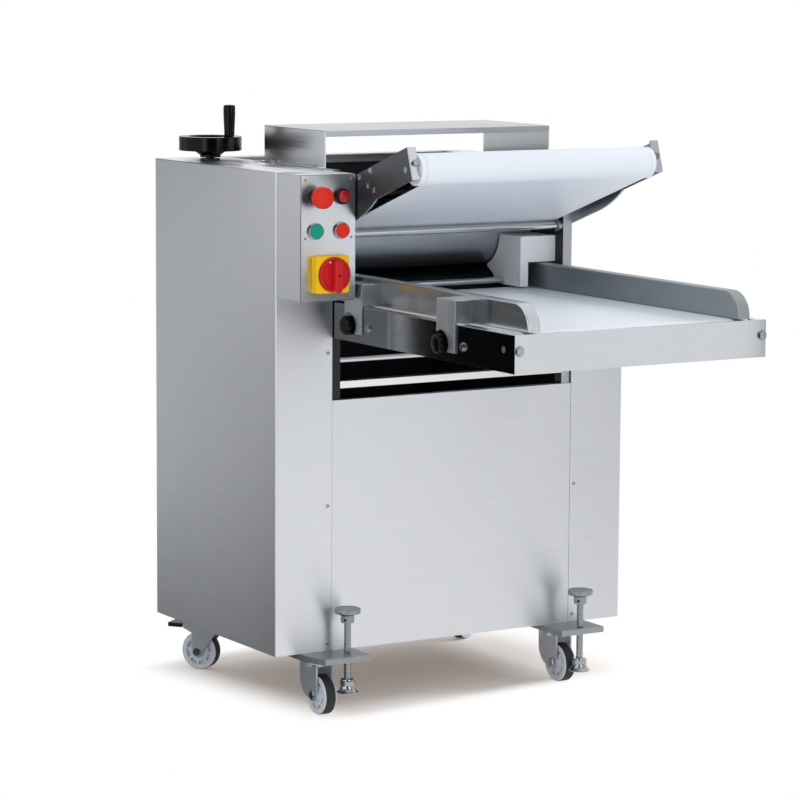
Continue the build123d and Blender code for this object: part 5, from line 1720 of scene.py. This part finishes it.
@dataclass
class Casters:
    """Four swivel casters under their plates, the rear ones with brake pedals."""

    axles: Sequence[tuple[str, Point]] = (
        ("front_left", (-1.0, 0.0, 0.0)),
        ("front_right", (-1.0, 0.0, 0.0)),
        ("rear_left", (0.798636, 0.601815, 0.0)),
        ("rear_right", (0.5, -0.866025, 0.0)),
    )
    plate_deburr: float = 1.0
    fork_deburr: float = 0.6
    pedal_deburr: float = 1.5
    rim_half: Rings = (
        (5.05, 14.5), (10.2, 14.5), (11, 13.7), (11, 11.4), (19.6, 11), (20.4, 10.2), (20.6, 4.5),
        (26.6, 4.5), (26.9, 11.6), (27.6, 12.3), (34, 12.5), (35.8, 12.1), (36.6, 11.2),
        (36.6, 10.2), (34, 9.9),
    )
    tread: Rings = ((34.2, -10), (36.8, -10), (37.5, -9), (37.5, 9), (36.8, 10), (34.2, 10))
    ribs: int = 8
    rib_span: Pair = (19.0, 27.4)
    rib_half: float = 2.8
    rib_rise: float = 10.6
    trail: float = 24.0
    cheek_run: Pair = (-25.5, 14.0)
    cheek_rise: Pair = (29.0, 98.0)
    cheek_sides: Pair = (15.6, 18.4)
    cheek_round: float = 37.0
    nut: Rings = ((9.4, 0), (9.4, 3.4), (8.4, 4.3))
    nut_place: float = 18.5

    def build(self) -> None:
        """Dresses the plates and forks and models the wheels."""
        dress_node(
            "mounting_plates", "caster_plates", Finishes.zinc_plate, deburr=self.plate_deburr
        )
        rim = self.rim()
        tread = turned("wheel_tread", self.tread, steps=96, bored=True)
        nut = turned("axle_nut", self.nut, steps=6)
        for name, axle in self.axles:
            self.caster(name, axle, rim, tread, nut)
        for piece in (rim, tread, nut):
            bpy.data.objects.remove(piece)
        for node in ("rear_left_pedal", "rear_right_pedal"):
            dress_node(
                node,
                f"{node}_moulding",
                Finishes.black_plastic,
                deburr=self.pedal_deburr,
                body=node,
            )

    def rim(self) -> Piece:
        """Models a wheel's rim with its hub and eight ribbed pockets.

        Returns:
            The rim at the origin, its axle along Z.
        """
        under = [(radius, -height) for radius, height in self.rim_half]
        rim = turned("wheel_rim", [*self.rim_half, *reversed(under)], steps=96, bored=True)
        (inner, outer), half, rise = self.rib_span, self.rib_half, self.rib_rise
        rib = block("rib", (inner, -half, -rise), (outer, half, rise))
        return combine(rim, ring_of(rib, self.ribs), Solid.MELT)

    def cheeks(self, name: str, axle: Point) -> list[Piece]:
        """Models the rounded rear halves of a front fork's two legs.

        Args:
            name: Corner where the caster stands.
            axle: Direction of its axle.

        Returns:
            Both cheeks, in place.
        """
        way = Vector(axle)
        ahead = Vector((-way.y, way.x, 0))
        foot = middle(f"{name}_wheel") - ahead * self.trail
        (back, front), (low, high), (near, far) = self.cheek_run, self.cheek_rise, self.cheek_sides
        tests = (runs_along(1), lies_at(0, back), lies_at(2, low))
        pieces = []
        for side in SIDES:
            sides = sorted((side * near, side * far))
            cheek = block("cheek", (back, sides[0], low), (front, sides[1], high))
            round_edges(cheek, self.cheek_round, lambda e: all(test(e) for test in tests), 6)
            cheek.rotation_euler = (0, 0, math.atan2(ahead.y, ahead.x))
            cheek.location = metres((foot.x, foot.y, 0))
            pieces.append(settle(cheek, f"{name}_cheek"))
        return pieces

    def caster(self, name: str, axle: Point, rim: Piece, tread: Piece, nut: Piece) -> None:
        """Builds one caster.

        Args:
            name: Corner where it stands.
            axle: Direction of its axle.
            rim: Rim to copy.
            tread: Tread to copy.
            nut: Axle nut to copy.
        """
        fork_body, wheel_body = f"{name}_fork", f"{name}_wheel"
        fork = softened(fork_body, f"{name}_fork_pressing", deburr=self.fork_deburr)
        if name.startswith("front"):
            combine(fork, self.cheeks(name, axle), Solid.MELT)
        dress(fork, Finishes.zinc_fork, fork_body, [fork_body])
        place = middle(wheel_body)
        ways = [Vector(axle) * side for side in SIDES]
        pair = [twin(nut, f"{name}_nut", place + way * self.nut_place, way) for way in ways]
        dress(join(f"{name}_axle_nuts", pair), Finishes.bolt_steel, fork_body)
        wheel = twin(rim, f"{name}_rim", place, axle)
        dress(wheel, Finishes.wheel_plastic, wheel_body, [wheel_body])
        tyre = twin(tread, f"{name}_tread", place, axle)
        dress(tyre, Finishes.tread_rubber, wheel_body)


@dataclass
class Jacks:
    """Levelling jacks with cast knobs, threaded spindles and bell feet."""

    knob: Rings = (
        (6.5, -28), (6.5, -27), (11.7, -27), (12.5, -26.2), (12.5, -14.2), (13.6, -12.8),
        (17, -11.4), (22.6, -9.8), (24.1, -8.6), (24.5, -7.2), (24.5, -1.8), (24.1, -0.7),
        (22.9, 0), (19, 0), (18.2, -0.6), (0.5, -0.6),
    )
    knob_smooth: float = 40.0
    core: float = 6.1
    core_tip: Pair = (5.4, 0.8)
    core_overlap: float = 1.0
    crest: float = 7.0
    pitch: float = 2.5
    turn_steps: int = 20
    thread_smooth: float = 30.0
    foot: Rings = (
        (7.1, 10), (7.1, 23.2), (12.8, 23.2), (14, 22.2), (14, 14.2), (13.2, 13.2), (14, 10.2),
        (16.2, 6.2), (19, 2.9), (21, 1.5), (21, 0.4), (20.5, 0), (0.5, 0),
    )
    washer: Rings = ((7.3, 23.2), (12.6, 23.2), (13, 23.6), (12.4, 25), (7.3, 25))
    pin: Rings = ((2.6, -3), (2.6, 0.25), (2.2, 0.6), (0.3, 0.6))
    pin_reach: float = 12.5
    pin_drop: float = 21.0
    pin_way: Point = (-0.77, -0.64, 0.0)

    def build(self) -> None:
        """Models both jacks."""
        for side in ("left", "right"):
            self.spindle(side)
            self.bell(side)

    def spindle(self, side: str) -> None:
        """Models the knob, its set screw and the threaded spindle.

        Args:
            side: Side where the jack stands, left or right.
        """
        node = f"{side}_jack_screw"
        low, high = corners(node)
        place = middle(node)
        place.z = high.z
        knob = turned(f"{side}_jack_knob", self.knob, place)
        dress(knob, Finishes.zinc_cast, node, [node], self.knob_smooth)
        way = Vector(self.pin_way).normalized()
        seat = place + way * self.pin_reach - Vector(UP) * self.pin_drop
        pin = turned(f"{side}_set_screw", self.pin, seat, way, steps=24)
        dress(pin, Finishes.black_plastic, node)
        place.z = low.z
        length = high.z - low.z + self.knob[0][1] + self.core_overlap
        thread = self.thread(f"{side}_jack_thread", length, place)
        dress(thread, Finishes.zinc_turned, node, angle=self.thread_smooth)

    def thread(self, name: str, length: float, place: Vector) -> Piece:
        """Models a core with a ridge that winds round it.

        Args:
            name: Name of the piece.
            length: Length of the spindle in millimetres.
            place: Its lower end in millimetres.

        Returns:
            The threaded spindle.
        """
        deselect()
        deep = self.crest - self.core
        upright = (math.pi / 2, math.pi / 2, 0)
        bpy.ops.mesh.primitive_circle_add(vertices=3, radius=deep * MM, rotation=upright)
        ridge = bpy.context.object
        ridge.location = metres((self.crest - deep, 0, self.pitch))
        settle(ridge, "ridge")
        modify(
            ridge,
            "SCREW",
            axis="Z",
            screw_offset=self.pitch * MM,
            iterations=int(length / self.pitch) - 2,
            steps=self.turn_steps,
            render_steps=self.turn_steps,
            use_merge_vertices=False,
        )
        with editing(ridge):
            bpy.ops.mesh.fill_holes(sides=3)
            bpy.ops.mesh.select_all(action="SELECT")
            bpy.ops.mesh.normals_make_consistent(inside=False)
        tip_radius, tip_height = self.core_tip
        rings = ((tip_radius, 0), (self.core, tip_height), (self.core, length))
        spindle = join(name, [turned("core", rings, steps=40), ridge])
        spindle.location = metres(place)
        return settle(spindle, name)

    def bell(self, side: str) -> None:
        """Models the foot with its washer.

        Args:
            side: Side where the jack stands, left or right.
        """
        node = f"{side}_jack_foot"
        place = middle(node)
        place.z = corners(node)[0].z
        foot = turned(f"{side}_jack_bell", self.foot, place)
        dress(foot, Finishes.zinc_turned, node, [node])
        washer = turned(f"{side}_jack_washer", self.washer, place, bored=True)
        dress(washer, Finishes.chrome_ring, node)


@dataclass
class CableGland:
    """Cable gland on the rear panel: a hexagon body with a domed nut."""

    body: Rings = ((7, 0), (14, 0), (14, 8), (13, 9), (7, 9))
    nut: Rings = (
        (6, 8.5), (11.6, 8.5), (11.6, 12), (12.8, 12.4), (12.8, 17), (11, 20.6), (8.6, 22), (6, 22),
    )

    def build(self) -> None:
        """Models the gland."""
        place = middle("cable_gland")
        place.y = corners("cable_gland")[0].y
        body = turned("gland_body", self.body, place, BACKWARD, steps=6, bored=True)
        nut = turned("gland_nut", self.nut, place, BACKWARD, steps=48, bored=True)
        gland = join("gland_moulding", [body, nut])
        dress(gland, Finishes.black_plastic, "cabinet", ["cable_gland"])


def main() -> None:
    """Builds the studio and every sub-assembly in order."""
    logging.basicConfig(level=logging.INFO, format="%(name)s: %(message)s")
    assemblies = (
        Studio(),
        Cabinet(),
        PressRollers(),
        Conveyors(),
        Handwheel(),
        ControlBox(),
        Fixings(),
        Casters(),
        Jacks(),
        CableGland(),
    )
    for assembly in assemblies:
        LOG.info("building %s", type(assembly).__name__)
        assembly.build()
    deselect()


if __name__ == "__main__":
    main()
